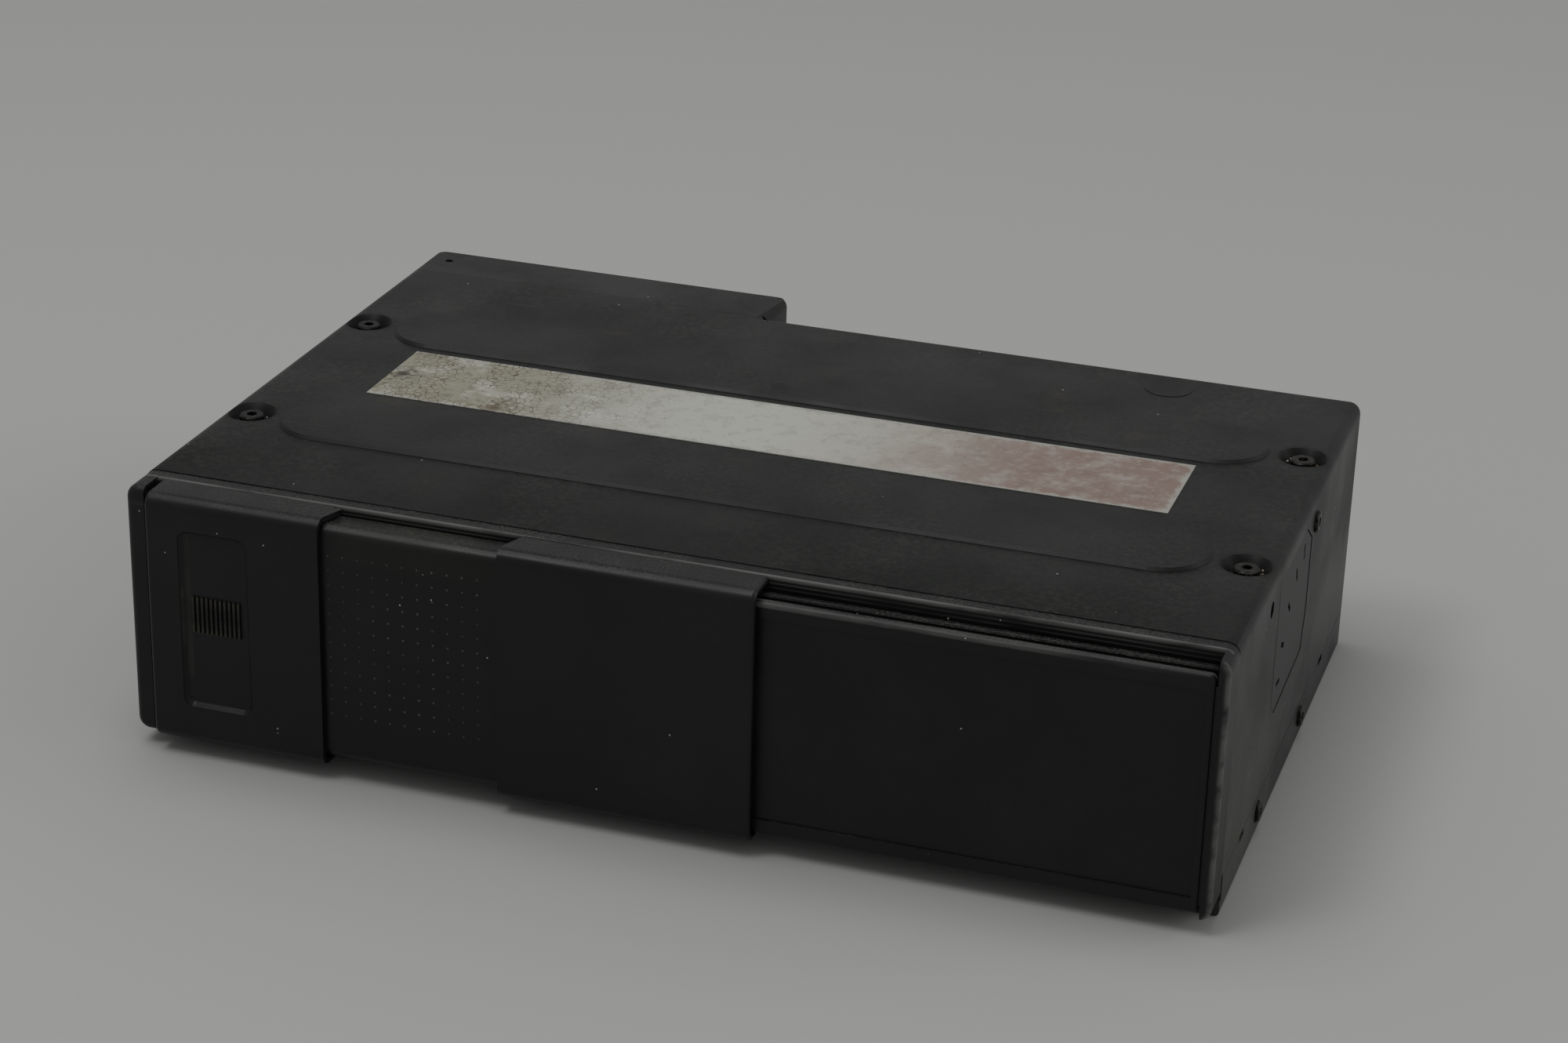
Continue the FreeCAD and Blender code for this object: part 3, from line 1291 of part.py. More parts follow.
def build():
    os.makedirs("parts", exist_ok=True)
    names = ("top_cover", "cover_side_left", "cover_side_right", "cover_rear")
    for name, piece in zip(names, cover_pieces()):
        save(name, *piece.Solids)
    save("bottom_cover", bottom_cover())
    save("front_bezel", front_bezel())
    save("top_label", top_label())
    save("cover_screws", *cover_screws())
    save("flange_screws", *flange_screws())
    save("side_screws", *side_screws())
    save("side_bracket_left", side_bracket())
    save("side_bracket_right", mirrored(side_bracket()))
    save("adjuster_plate_left", adjuster_plate())
    save("adjuster_plate_right", mirrored(adjuster_plate()))
    save("adjuster_left", adjuster())
    save("adjuster_right", mirrored(adjuster()))
    save("transport_seals", *transport_seals())
    save("door_outer", door_outer())
    save("door_inner", door_inner())
    save("main_board", main_board())
    save("board_parts", *board_parts())
    save("signal_socket", signal_socket())
    save("socket_pins", *socket_pins())
    save("dampers", *dampers())
    save("suspension_springs", *suspension_springs())
    save("mech_chassis", mech_chassis())
    save("lift_slide_front", lift_slide(slide_front_y()))
    save("lift_slide_rear", lift_slide(slide_rear_y()))
    save("lift_shaft", lift_shaft())
    save("lift_pinions", lift_pinion(slide_front_y()), lift_pinion(slide_rear_y()))
    save("drive_wheel", drive_wheel())
    save("drive_pinion", drive_pinion())
    save("drive_pinion_shaft", drive_pinion_shaft())
    save("lift_motor", lift_motor())
    save("magazine_shell", magazine_shell())
    for k in range(disc_count):
        z = first_tray + k * tray_pitch
        save("tray_%d" % (k + 1), tray(z))
        save("disc_%d" % (k + 1), disc(z))
    save("player_deck", player_deck())
    save("spindle_motor", spindle_motor())
    save("turntable", turntable())
    save("guide_rods", *guide_rods())
    save("lead_screw", lead_screw())
    save("sled_motor", sled_motor())
    save("pickup_sled", pickup_sled())
    save("pickup_lens", pickup_lens())
    save("clamp_pin", clamp_pin())
    save("clamp_arm", clamp_arm())
    save("clamp_puck", clamp_puck())
    save("eject_button", eject_button())
    save("eject_rod", eject_rod())


build()
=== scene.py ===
import math
import random

import bmesh
import bpy
from mathutils import Matrix, Quaternion, Vector


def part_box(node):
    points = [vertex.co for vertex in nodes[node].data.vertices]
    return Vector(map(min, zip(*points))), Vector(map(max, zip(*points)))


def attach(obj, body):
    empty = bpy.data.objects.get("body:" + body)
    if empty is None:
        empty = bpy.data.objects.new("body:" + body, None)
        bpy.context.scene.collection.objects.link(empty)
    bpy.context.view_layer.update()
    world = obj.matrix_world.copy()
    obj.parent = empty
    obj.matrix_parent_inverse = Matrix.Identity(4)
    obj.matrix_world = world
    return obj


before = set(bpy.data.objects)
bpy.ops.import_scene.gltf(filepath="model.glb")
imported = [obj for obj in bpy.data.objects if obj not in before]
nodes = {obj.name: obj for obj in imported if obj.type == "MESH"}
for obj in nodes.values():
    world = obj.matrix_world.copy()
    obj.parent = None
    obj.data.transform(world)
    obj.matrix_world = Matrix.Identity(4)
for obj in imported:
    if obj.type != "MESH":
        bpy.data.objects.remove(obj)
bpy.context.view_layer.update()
scene = bpy.context.scene
print("frame loaded:", len(nodes), "nodes")


# small helpers for shader trees

def addNode(tree, kind, **values):
    made = tree.nodes.new("ShaderNode" + kind)
    for key, value in values.items():
        setattr(made, key, value)
    return made


def plug(tree, socket, value):
    # a socket is linked, anything else is set as the input's value
    if isinstance(value, bpy.types.NodeSocket):
        tree.links.new(value, socket)
    else:
        socket.default_value = value


def mathOf(tree, operation, a, b=0.0, clamp=False):
    made = addNode(tree, "Math", operation=operation, use_clamp=clamp)
    plug(tree, made.inputs[0], a)
    plug(tree, made.inputs[1], b)
    return made.outputs[0]


def times(tree, a, b, clamp=False):
    return mathOf(tree, "MULTIPLY", a, b, clamp)


def rangeOf(tree, value, fromLow, fromHigh, toLow=0.0, toHigh=1.0):
    made = addNode(tree, "MapRange", interpolation_type="SMOOTHSTEP")
    plug(tree, made.inputs["Value"], value)
    plug(tree, made.inputs["From Min"], fromLow)
    plug(tree, made.inputs["From Max"], fromHigh)
    plug(tree, made.inputs["To Min"], toLow)
    plug(tree, made.inputs["To Max"], toHigh)
    return made.outputs["Result"]


def mixColour(tree, factor, a, b):
    made = addNode(tree, "Mix", data_type="RGBA")
    plug(tree, made.inputs[0], factor)
    plug(tree, made.inputs[6], a if isinstance(a, bpy.types.NodeSocket) else (*a, 1.0))
    plug(tree, made.inputs[7], b if isinstance(b, bpy.types.NodeSocket) else (*b, 1.0))
    return made.outputs[2]


def noiseOf(tree, scale, detail=4.0, stretch=(1, 1, 1), turn=0.0, shift=(0, 0, 0), roughness=0.55):
    coords = addNode(tree, "TexCoord")
    mapping = addNode(tree, "Mapping")
    mapping.inputs["Location"].default_value = shift
    mapping.inputs["Rotation"].default_value = (0, 0, turn)
    mapping.inputs["Scale"].default_value = stretch
    tree.links.new(coords.outputs["Object"], mapping.inputs["Vector"])
    made = addNode(tree, "TexNoise")
    tree.links.new(mapping.outputs["Vector"], made.inputs["Vector"])
    plug(tree, made.inputs["Scale"], scale)
    made.inputs["Detail"].default_value = detail
    made.inputs["Roughness"].default_value = roughness
    return made.outputs["Fac"]


def patchesOf(tree, spread):
    # noise sharpened into patches
    return rangeOf(tree, noiseOf(tree, **spread["noise"]), *spread["range"])


def objectAxes(tree):
    coords = addNode(tree, "TexCoord")
    split = addNode(tree, "SeparateXYZ")
    tree.links.new(coords.outputs["Object"], split.inputs[0])
    return split.outputs


def bandOf(tree, value, middle, half):
    # 1 in the middle of a narrow band, 0 outside it
    away = mathOf(tree, "ABSOLUTE", mathOf(tree, "SUBTRACT", value, middle))
    return rangeOf(tree, away, half * 0.5, half, 1.0, 0.0)


def nearPoint(tree, place, reach, inner=0.0):
    # 1 at a place on the piece, falling to 0 at its reach
    coords = addNode(tree, "TexCoord")
    far = addNode(tree, "VectorMath", operation="DISTANCE")
    tree.links.new(coords.outputs["Object"], far.inputs[0])
    far.inputs[1].default_value = place
    return rangeOf(tree, far.outputs["Value"], inner, reach, 1.0, 0.0)


# effects shared by several materials

def newGroup(name, inputs, outputs):
    group = bpy.data.node_groups.new(name, "ShaderNodeTree")
    for label, value in inputs:
        socket = group.interface.new_socket(name=label, in_out="INPUT", socket_type="NodeSocketFloat")
        socket.default_value = value
    for label in outputs:
        group.interface.new_socket(name=label, in_out="OUTPUT", socket_type="NodeSocketFloat")
    start = group.nodes.new("NodeGroupInput")
    end = group.nodes.new("NodeGroupOutput")
    return group, start.outputs, end.inputs


grainLook = {
    "fineDetail": 2.0,
    "wideScale": 0.28,
    "wideDetail": 1.0,
    "wideShift": (0.3, 0.1, 0.2),
}


def makeGrainGroup():
    group, given, out = newGroup("mouldGrain", [("Scale", 1500.0), ("Coarse", 0.3)], ["Height"])
    fine = noiseOf(group, given["Scale"], detail=grainLook["fineDetail"])
    wideScale = times(group, given["Scale"], grainLook["wideScale"])
    wide = noiseOf(group, wideScale, detail=grainLook["wideDetail"], shift=grainLook["wideShift"])
    heavy = times(group, wide, given["Coarse"])
    group.links.new(mathOf(group, "ADD", fine, heavy), out["Height"])
    return group


dustLook = {
    "facingUp": (0.55, 0.98),
    "drifts": (0.38, 0.72),
    "driftDetail": 6.0,
    "driftShare": 0.75,
    "evenShare": 0.25,
    "powder": (0.40, 0.66),
    "powderScale": 22.0,
    "powderDetail": 2.0,
}


def makeDustGroup():
    # dust lies on what faces up, in drifts
    group, given, out = newGroup("settledDust", [("Amount", 0.4), ("Scale", 60.0)], ["Mask"])
    geometry = addNode(group, "NewGeometry")
    split = addNode(group, "SeparateXYZ")
    group.links.new(geometry.outputs["Normal"], split.inputs[0])
    upward = rangeOf(group, split.outputs["Z"], *dustLook["facingUp"])
    drift = noiseOf(group, given["Scale"], detail=dustLook["driftDetail"])
    drift = rangeOf(group, drift, *dustLook["drifts"])
    powderScale = times(group, given["Scale"], dustLook["powderScale"])
    powder = noiseOf(group, powderScale, detail=dustLook["powderDetail"])
    powder = rangeOf(group, powder, *dustLook["powder"])
    drift = mathOf(group, "ADD", times(group, drift, dustLook["driftShare"]), dustLook["evenShare"])
    both = times(group, drift, powder)
    shown = times(group, times(group, both, upward), given["Amount"], clamp=True)
    group.links.new(shown, out["Mask"])
    return group


scratchLook = {
    "lines": ((0.12, 26), (1.35, 30), (-0.55, 34)),
    "detail": 3.0,
    "thin": (0.70, 0.76),
    "patches": {"noise": {"scale": 30.0, "detail": 3.0, "shift": (0.4, 0.0, 0.1)}, "range": (0.46, 0.62)},
}


def makeScratchGroup():
    # three directions of fine lines, each a turn and a stretch, broken up into patches
    group, given, out = newGroup("fineScratches", [("Amount", 0.5), ("Scale", 40.0)], ["Mask"])
    total = None
    for turn, stretch in scratchLook["lines"]:
        lines = noiseOf(group, given["Scale"], detail=scratchLook["detail"], stretch=(1, stretch, stretch),
                        turn=turn, shift=(turn, 0.2, turn))
        thin = rangeOf(group, lines, *scratchLook["thin"])
        total = thin if total is None else mathOf(group, "MAXIMUM", total, thin)
    patches = patchesOf(group, scratchLook["patches"])
    shown = times(group, times(group, total, patches), given["Amount"], clamp=True)
    group.links.new(shown, out["Mask"])
    return group


def makeFleckGroup():
    # a few pale crumbs, each in its own cell
    group, given, out = newGroup("paleFlecks", [("Amount", 0.06), ("Scale", 420.0), ("Size", 0.13)], ["Mask"])
    coords = addNode(group, "TexCoord")
    cells = addNode(group, "TexVoronoi", feature="F1")
    group.links.new(coords.outputs["Object"], cells.inputs["Vector"])
    group.links.new(given["Scale"], cells.inputs["Scale"])
    split = addNode(group, "SeparateColor")
    group.links.new(cells.outputs["Color"], split.inputs[0])
    chosen = mathOf(group, "LESS_THAN", split.outputs[0], given["Amount"])
    near = mathOf(group, "LESS_THAN", cells.outputs["Distance"], given["Size"])
    group.links.new(times(group, chosen, near), out["Mask"])
    return group


smudgeLook = {
    "detail": 5.0,
    "roughness": 0.6,
    "range": (0.42, 0.68),
}


def makeSmudgeGroup():
    group, given, out = newGroup("handSmudges", [("Amount", 0.5), ("Scale", 18.0)], ["Mask"])
    broad = noiseOf(group, given["Scale"], detail=smudgeLook["detail"], roughness=smudgeLook["roughness"])
    broad = rangeOf(group, broad, *smudgeLook["range"])
    group.links.new(times(group, broad, given["Amount"], clamp=True), out["Mask"])
    return group


grainGroup = makeGrainGroup()
dustGroup = makeDustGroup()
scratchGroup = makeScratchGroup()
fleckGroup = makeFleckGroup()
smudgeGroup = makeSmudgeGroup()
print("shared effects made")


def effect(tree, group, **values):
    made = addNode(tree, "Group", node_tree=group)
    for key, value in values.items():
        made.inputs[key].default_value = value
    return made.outputs[0]


def newMaterial(name, roughness=0.5, metallic=0.0, specular=0.5):
    material = bpy.data.materials.new(name)
    material.use_nodes = True
    tree = material.node_tree
    shader = tree.nodes["Principled BSDF"]
    shader.inputs["Roughness"].default_value = roughness
    shader.inputs["Metallic"].default_value = metallic
    shader.inputs["Specular IOR Level"].default_value = specular
    return material, tree, shader


def addBump(tree, shader, height, distance):
    bump = addNode(tree, "Bump")
    bump.inputs["Strength"].default_value = 1.0
    bump.inputs["Distance"].default_value = distance
    tree.links.new(height, bump.inputs["Height"])
    tree.links.new(bump.outputs["Normal"], shader.inputs["Normal"])


def setBase(tree, shader, colour):
    tree.links.new(colour, shader.inputs["Base Color"])


# the steel case

casePaint = {
    "colour": (0.0078, 0.0092, 0.0080),
    "faded": (0.0150, 0.0160, 0.0148),
    "dust": (0.085, 0.082, 0.072),
    "stain": (0.030, 0.022, 0.015),
    "rust": (0.024, 0.016, 0.011),
    "bare": (0.11, 0.11, 0.105),
    "fleck": (0.42, 0.41, 0.38),
    "gum": (0.006, 0.006, 0.006),
    "shade": (0.0015, 0.0015, 0.0015),
    "gloss": 0.23,
    "specular": 0.32,
    "grainDepth": 0.000016,
    "smudges": {"Amount": 0.8, "Scale": 22.0},
    "settled": {"Amount": 0.18, "Scale": 34.0},
    "scratches": {"Amount": 0.16, "Scale": 20.0},
    "flecks": {"Amount": 0.010, "Scale": 420.0, "Size": 0.085},
    "grain": {"Scale": 1700.0, "Coarse": 0.8},
    "stains": {"noise": {"scale": 46.0, "detail": 7.0, "shift": (0.21, 0.07, 0.0)}, "range": (0.60, 0.70)},
    "stainAmount": 0.55,
    "rustyScrews": ((0.1215, -0.0373, 0.0640), (0.1215, 0.0297, 0.0640)),
    "rustReach": (0.0085, 0.0025),
    "rustAmount": 0.8,
    "crumbs": {"noise": {"scale": 900.0, "detail": 3.0}, "range": (0.47, 0.56)},
    "pits": {"noise": {"scale": 260.0, "detail": 6.0, "shift": (0.3, 0.0, 0.0)}, "range": (0.46, 0.58)},
    "scuffs": ((0.1285, -0.018, 0.020), (0.1285, -0.004, 0.016), (0.1285, 0.012, 0.024)),
    "scuffReach": (0.014, 0.002),
    "scuffAmount": 0.16,
    "rubbed": {"noise": {"scale": 150.0, "detail": 5.0, "stretch": (1, 1, 2.6)}, "range": (0.50, 0.60)},
    "dustySide": (0.1285, -0.0560, 0.0100),
    "dustySideReach": (0.045, 0.004),
    "dustySideAmount": 0.60,
    "gumSpot": (-0.0080, 0.0245, 0.0668),
    "gumReach": (0.0026, 0.0018),
    # painted shadow along the joint in front of the angle plate
    "plateJointShadow": {"y": -0.0309, "half": 0.0008, "z": 0.0445, "halfHeight": 0.0230, "outside": 0.1268},
    # painted shade in the screws' dimples, which also lowers the gloss there
    "dimpleReach": (0.0085, 0.0040),
    "dimpleShade": 0.65,
    "shadeDulls": 0.9,
    "lowEdge": {"z": 0.0106, "half": 0.0010, "amount": 0.20},
    "edgeWear": {"noise": {"scale": 420.0, "detail": 6.0, "stretch": (0.4, 0.4, 1)}, "range": (0.50, 0.60)},
    "haze": {"noise": {"scale": 30.0, "detail": 5.0, "shift": (0.0, 0.5, 0.0)},
             "range": (0.35, 0.68, 0.36, 0.50)},
    "handledStrip": (-0.0750, -0.0300, 0.42, 1.0),
    "topStart": 0.0652,
}


def makeCasePaint():
    look = casePaint
    material, tree, shader = newMaterial("casePaint", specular=look["specular"])
    axes = objectAxes(tree)
    smudges = effect(tree, smudgeGroup, **look["smudges"])
    colour = mixColour(tree, smudges, look["colour"], look["faded"])
    stains = times(tree, patchesOf(tree, look["stains"]), look["stainAmount"])
    colour = mixColour(tree, stains, colour, look["stain"])
    settled = effect(tree, dustGroup, **look["settled"])
    colour = mixColour(tree, settled, colour, look["dust"])
    scratches = effect(tree, scratchGroup, **look["scratches"])
    colour = mixColour(tree, scratches, colour, look["bare"])
    crumbs = patchesOf(tree, look["crumbs"])
    for place in look["rustyScrews"]:
        halo = nearPoint(tree, place, *look["rustReach"])
        eaten = times(tree, halo, patchesOf(tree, look["pits"]))
        rust = times(tree, eaten, times(tree, crumbs, look["rustAmount"]))
        colour = mixColour(tree, rust, colour, look["rust"])
    rubbed = patchesOf(tree, look["rubbed"])
    for place in look["scuffs"]:
        patch = nearPoint(tree, place, *look["scuffReach"])
        scuff = times(tree, patch, times(tree, rubbed, look["scuffAmount"]))
        colour = mixColour(tree, scuff, colour, look["bare"])
    sideDust = nearPoint(tree, look["dustySide"], *look["dustySideReach"])
    sideDust = times(tree, sideDust, look["dustySideAmount"])
    colour = mixColour(tree, sideDust, colour, look["dust"])
    gum = nearPoint(tree, look["gumSpot"], *look["gumReach"])
    colour = mixColour(tree, gum, colour, look["gum"])
    # painted shadow along the joint in front of the angle plate and painted shade in the screws' dimples
    jointShadow = look["plateJointShadow"]
    across = bandOf(tree, axes["Y"], jointShadow["y"], jointShadow["half"])
    grime = times(tree, across, bandOf(tree, axes["Z"], jointShadow["z"], jointShadow["halfHeight"]))
    grime = times(tree, grime, mathOf(tree, "GREATER_THAN", axes["X"], jointShadow["outside"]))
    for place in look["rustyScrews"]:
        for side in (-1, 1):
            centre = (place[0] * side, place[1], place[2])
            dimple = nearPoint(tree, centre, *look["dimpleReach"])
            grime = mathOf(tree, "MAXIMUM", grime, times(tree, dimple, look["dimpleShade"]))
    colour = mixColour(tree, grime, colour, look["shade"])
    edge = look["lowEdge"]
    lowEdge = times(tree, bandOf(tree, axes["Z"], edge["z"], edge["half"]), edge["amount"])
    worn = times(tree, lowEdge, patchesOf(tree, look["edgeWear"]))
    colour = mixColour(tree, worn, colour, look["bare"])
    flecks = effect(tree, fleckGroup, **look["flecks"])
    colour = mixColour(tree, flecks, colour, look["fleck"])
    setBase(tree, shader, colour)
    tree.links.new(patchesOf(tree, look["haze"]), shader.inputs["Roughness"])
    # the strip behind the bezel is the most handled and the dullest
    handled = rangeOf(tree, axes["Y"], *look["handledStrip"])
    belowTop = mathOf(tree, "LESS_THAN", axes["Z"], look["topStart"])
    dull = mathOf(tree, "MAXIMUM", handled, belowTop)
    # the painted shade also lowers the gloss in the joint and the dimples
    unshaded = mathOf(tree, "SUBTRACT", 1.0, times(tree, grime, look["shadeDulls"]))
    gloss = times(tree, times(tree, dull, unshaded), look["gloss"])
    tree.links.new(gloss, shader.inputs["Specular IOR Level"])
    addBump(tree, shader, effect(tree, grainGroup, **look["grain"]), look["grainDepth"])
    return material


# the bezel and the doors

blackPlastic = {
    "colour": (0.0048, 0.0051, 0.0050),
    "worn": (0.014, 0.0142, 0.0138),
    # the rubbed tone also paints the highlights along the bezel's rounded edges
    "rubbed": (0.110, 0.110, 0.105),
    "grime": (0.040, 0.036, 0.026),
    "dust": (0.070, 0.069, 0.064),
    "fleck": (0.46, 0.45, 0.43),
    "specular": 0.26,
    "grainDepth": 0.000016,
    "grain": {"Scale": 2600.0, "Coarse": 0.3},
    "smudges": {"Amount": 0.35, "Scale": 26.0},
    "dustScale": 70.0,
    "scratchScale": 34.0,
    "fleckScale": 520.0,
    "fleckSize": 0.10,
    "broken": {"noise": {"scale": 160.0, "detail": 5.0, "stretch": (0.2, 1, 1)}, "range": (0.30, 0.58)},
    "haze": {"scale": 24.0, "detail": 5.0},
    "hazeRange": (0.35, 0.7),
    "glossier": 0.05,
    "duller": 0.08,
}


def makeBlackPlastic(name, roughness, dust, scratches, flecks, lines, lineTone):
    look = blackPlastic
    material, tree, shader = newMaterial(name, specular=look["specular"])
    axes = objectAxes(tree)
    smudges = effect(tree, smudgeGroup, **look["smudges"])
    colour = mixColour(tree, smudges, look["colour"], look["worn"])
    settled = effect(tree, dustGroup, Amount=dust, Scale=look["dustScale"])
    colour = mixColour(tree, settled, colour, look["dust"])
    marks = effect(tree, scratchGroup, Amount=scratches, Scale=look["scratchScale"])
    colour = mixColour(tree, marks, colour, look["worn"])
    broken = patchesOf(tree, look["broken"])
    # each line mixes its tone into the colour; on the bezel some of them are painted highlights
    for axis, middle, half, amount, limits in lines:
        across = bandOf(tree, axes[axis], middle, half)
        lineAndHighlight = times(tree, across, times(tree, broken, amount))
        for other, low, high in limits:
            along = bandOf(tree, axes[other], (low + high) / 2, (high - low) / 2)
            lineAndHighlight = times(tree, lineAndHighlight, along)
        colour = mixColour(tree, lineAndHighlight, colour, look[lineTone])
    crumbs = effect(tree, fleckGroup, Amount=flecks, Scale=look["fleckScale"], Size=look["fleckSize"])
    colour = mixColour(tree, crumbs, colour, look["fleck"])
    setBase(tree, shader, colour)
    haze = noiseOf(tree, **look["haze"])
    haze = rangeOf(tree, haze, *look["hazeRange"], roughness - look["glossier"], roughness + look["duller"])
    tree.links.new(haze, shader.inputs["Roughness"])
    addBump(tree, shader, effect(tree, grainGroup, **look["grain"]), look["grainDepth"])
    return material


# lines on the bezel and doors, painted highlights along the bezel's rounded edges among them: axis, middle,
# half width, strength, then the limits along other axes
frontX = ("X", -0.1400, 0.1262)
ringY = ("Y", -0.0818, -0.0800)
bezelLinesAndHighlights = (
    # painted highlight along the ring's rounded front edge
    ("Y", -0.0808, 0.00040, 1.00, (("Z", 0.0645, 0.0672),)),
    ("Z", 0.0652, 0.00030, 0.60, (ringY,)),
    ("Z", 0.0641, 0.00030, 0.45, (ringY,)),
    ("Z", 0.0630, 0.00022, 0.35, (ringY,)),
    ("Y", -0.0836, 0.00040, 0.45, (("Z", 0.0605, 0.0650),)),
    ("Y", -0.0868, 0.00040, 0.50, (("Z", 0.0605, 0.0650),)),
    # painted highlight along the panel's rounded top edge, stopping short of the cheek
    ("Z", 0.0617, 0.00070, 0.75, (("Y", -0.0895, -0.0850), frontX)),
    # a lighter band down the cheek's rounded right edge
    ("Y", -0.0871, 0.00100, 0.85, (("X", 0.1262, 0.1298),)),
)
doorLines = (
    ("Z", 0.0598, 0.0050, 0.10, (("X", -0.0830, -0.0320),)),
    ("Z", 0.0636, 0.0006, 0.30, (("X", -0.0790, -0.0360),)),
    ("Y", -0.0904, 0.0004, 0.70, (("X", -0.1180, -0.0880), ("Z", 0.0280, 0.0460))),
    ("X", -0.1125, 0.0010, 0.30, (("Y", -0.0910, -0.0890), ("Z", 0.0120, 0.0640))),
)


# the film label, blank, cracked at one end and faded at the other

filmLabel = {
    "white": (0.47, 0.465, 0.430),
    "yellowed": (0.30, 0.285, 0.225),
    "brown": (0.115, 0.085, 0.050),
    "soot": (0.045, 0.040, 0.030),
    "pink": (0.232, 0.155, 0.130),
    "border": (0.38, 0.37, 0.345),
    "grey": (0.24, 0.235, 0.215),
    "roughness": 0.55,
    "specular": 0.35,
    "bumpDepth": 0.00005,
    "leftEnd": (0.12, 0.42),
    "rightEnd": (0.48, 0.86),
    "patchy": {"noise": {"scale": 75.0, "detail": 7.0, "roughness": 0.62}, "range": (0.34, 0.52)},
    "mottle": {"scale": 110.0, "detail": 9.0, "roughness": 0.70, "shift": (0.3, 0.9, 0.0)},
    "mottleLift": 0.14,
    "fadedRange": (0.44, 0.66, 0.55, 1.0),
    "pinkAmount": 0.90,
    "bleached": {"noise": {"scale": 420.0, "detail": 7.0, "roughness": 0.72, "shift": (0.8, 0.3, 0.0)},
                 "range": (0.50, 0.62)},
    "bleachAmount": 0.25,
    "ragged": {"scale": 330.0, "detail": 6.0, "roughness": 0.7, "shift": (0.1, 0.6, 0.0)},
    "raggedDepth": -0.0060,
    "borderRange": (-0.0026, -0.0014, 0.85, 0.0),
    "crackScale": 520.0,
    "crackRange": (0.015, 0.060, 1.0, 0.0),
    "crackedAreas": {"noise": {"scale": 95.0, "detail": 5.0, "shift": (0.7, 0.2, 0.0)}, "range": (0.36, 0.52)},
    "crackAnywhere": 0.07,
    "crackAmount": 0.95,
    "grime": {"noise": {"scale": 260.0, "detail": 8.0, "roughness": 0.7}, "range": (0.53, 0.64)},
    "grimeAtLeft": 0.32,
    "grimeAnywhere": 0.10,
    "speckle": {"noise": {"scale": 620.0, "detail": 4.0}, "range": (0.46, 0.58)},
    "spots": (
        {"place": (-0.0685, -0.0135, 0.0661), "reach": 0.010, "tone": "brown"},
        {"place": (-0.0985, -0.0010, 0.0661), "reach": 0.0085, "tone": "soot"},
    ),
    "spotInner": 0.001,
    "coreShare": 0.30,
    "coreInner": 0.0004,
    "spotAmount": 0.95,
    "wornThrough": {"noise": {"scale": 180.0, "detail": 9.0, "roughness": 0.75, "shift": (0.5, 0.5, 0.0)},
                    "range": (0.62, 0.66)},
    "wornAmount": 0.45,
}


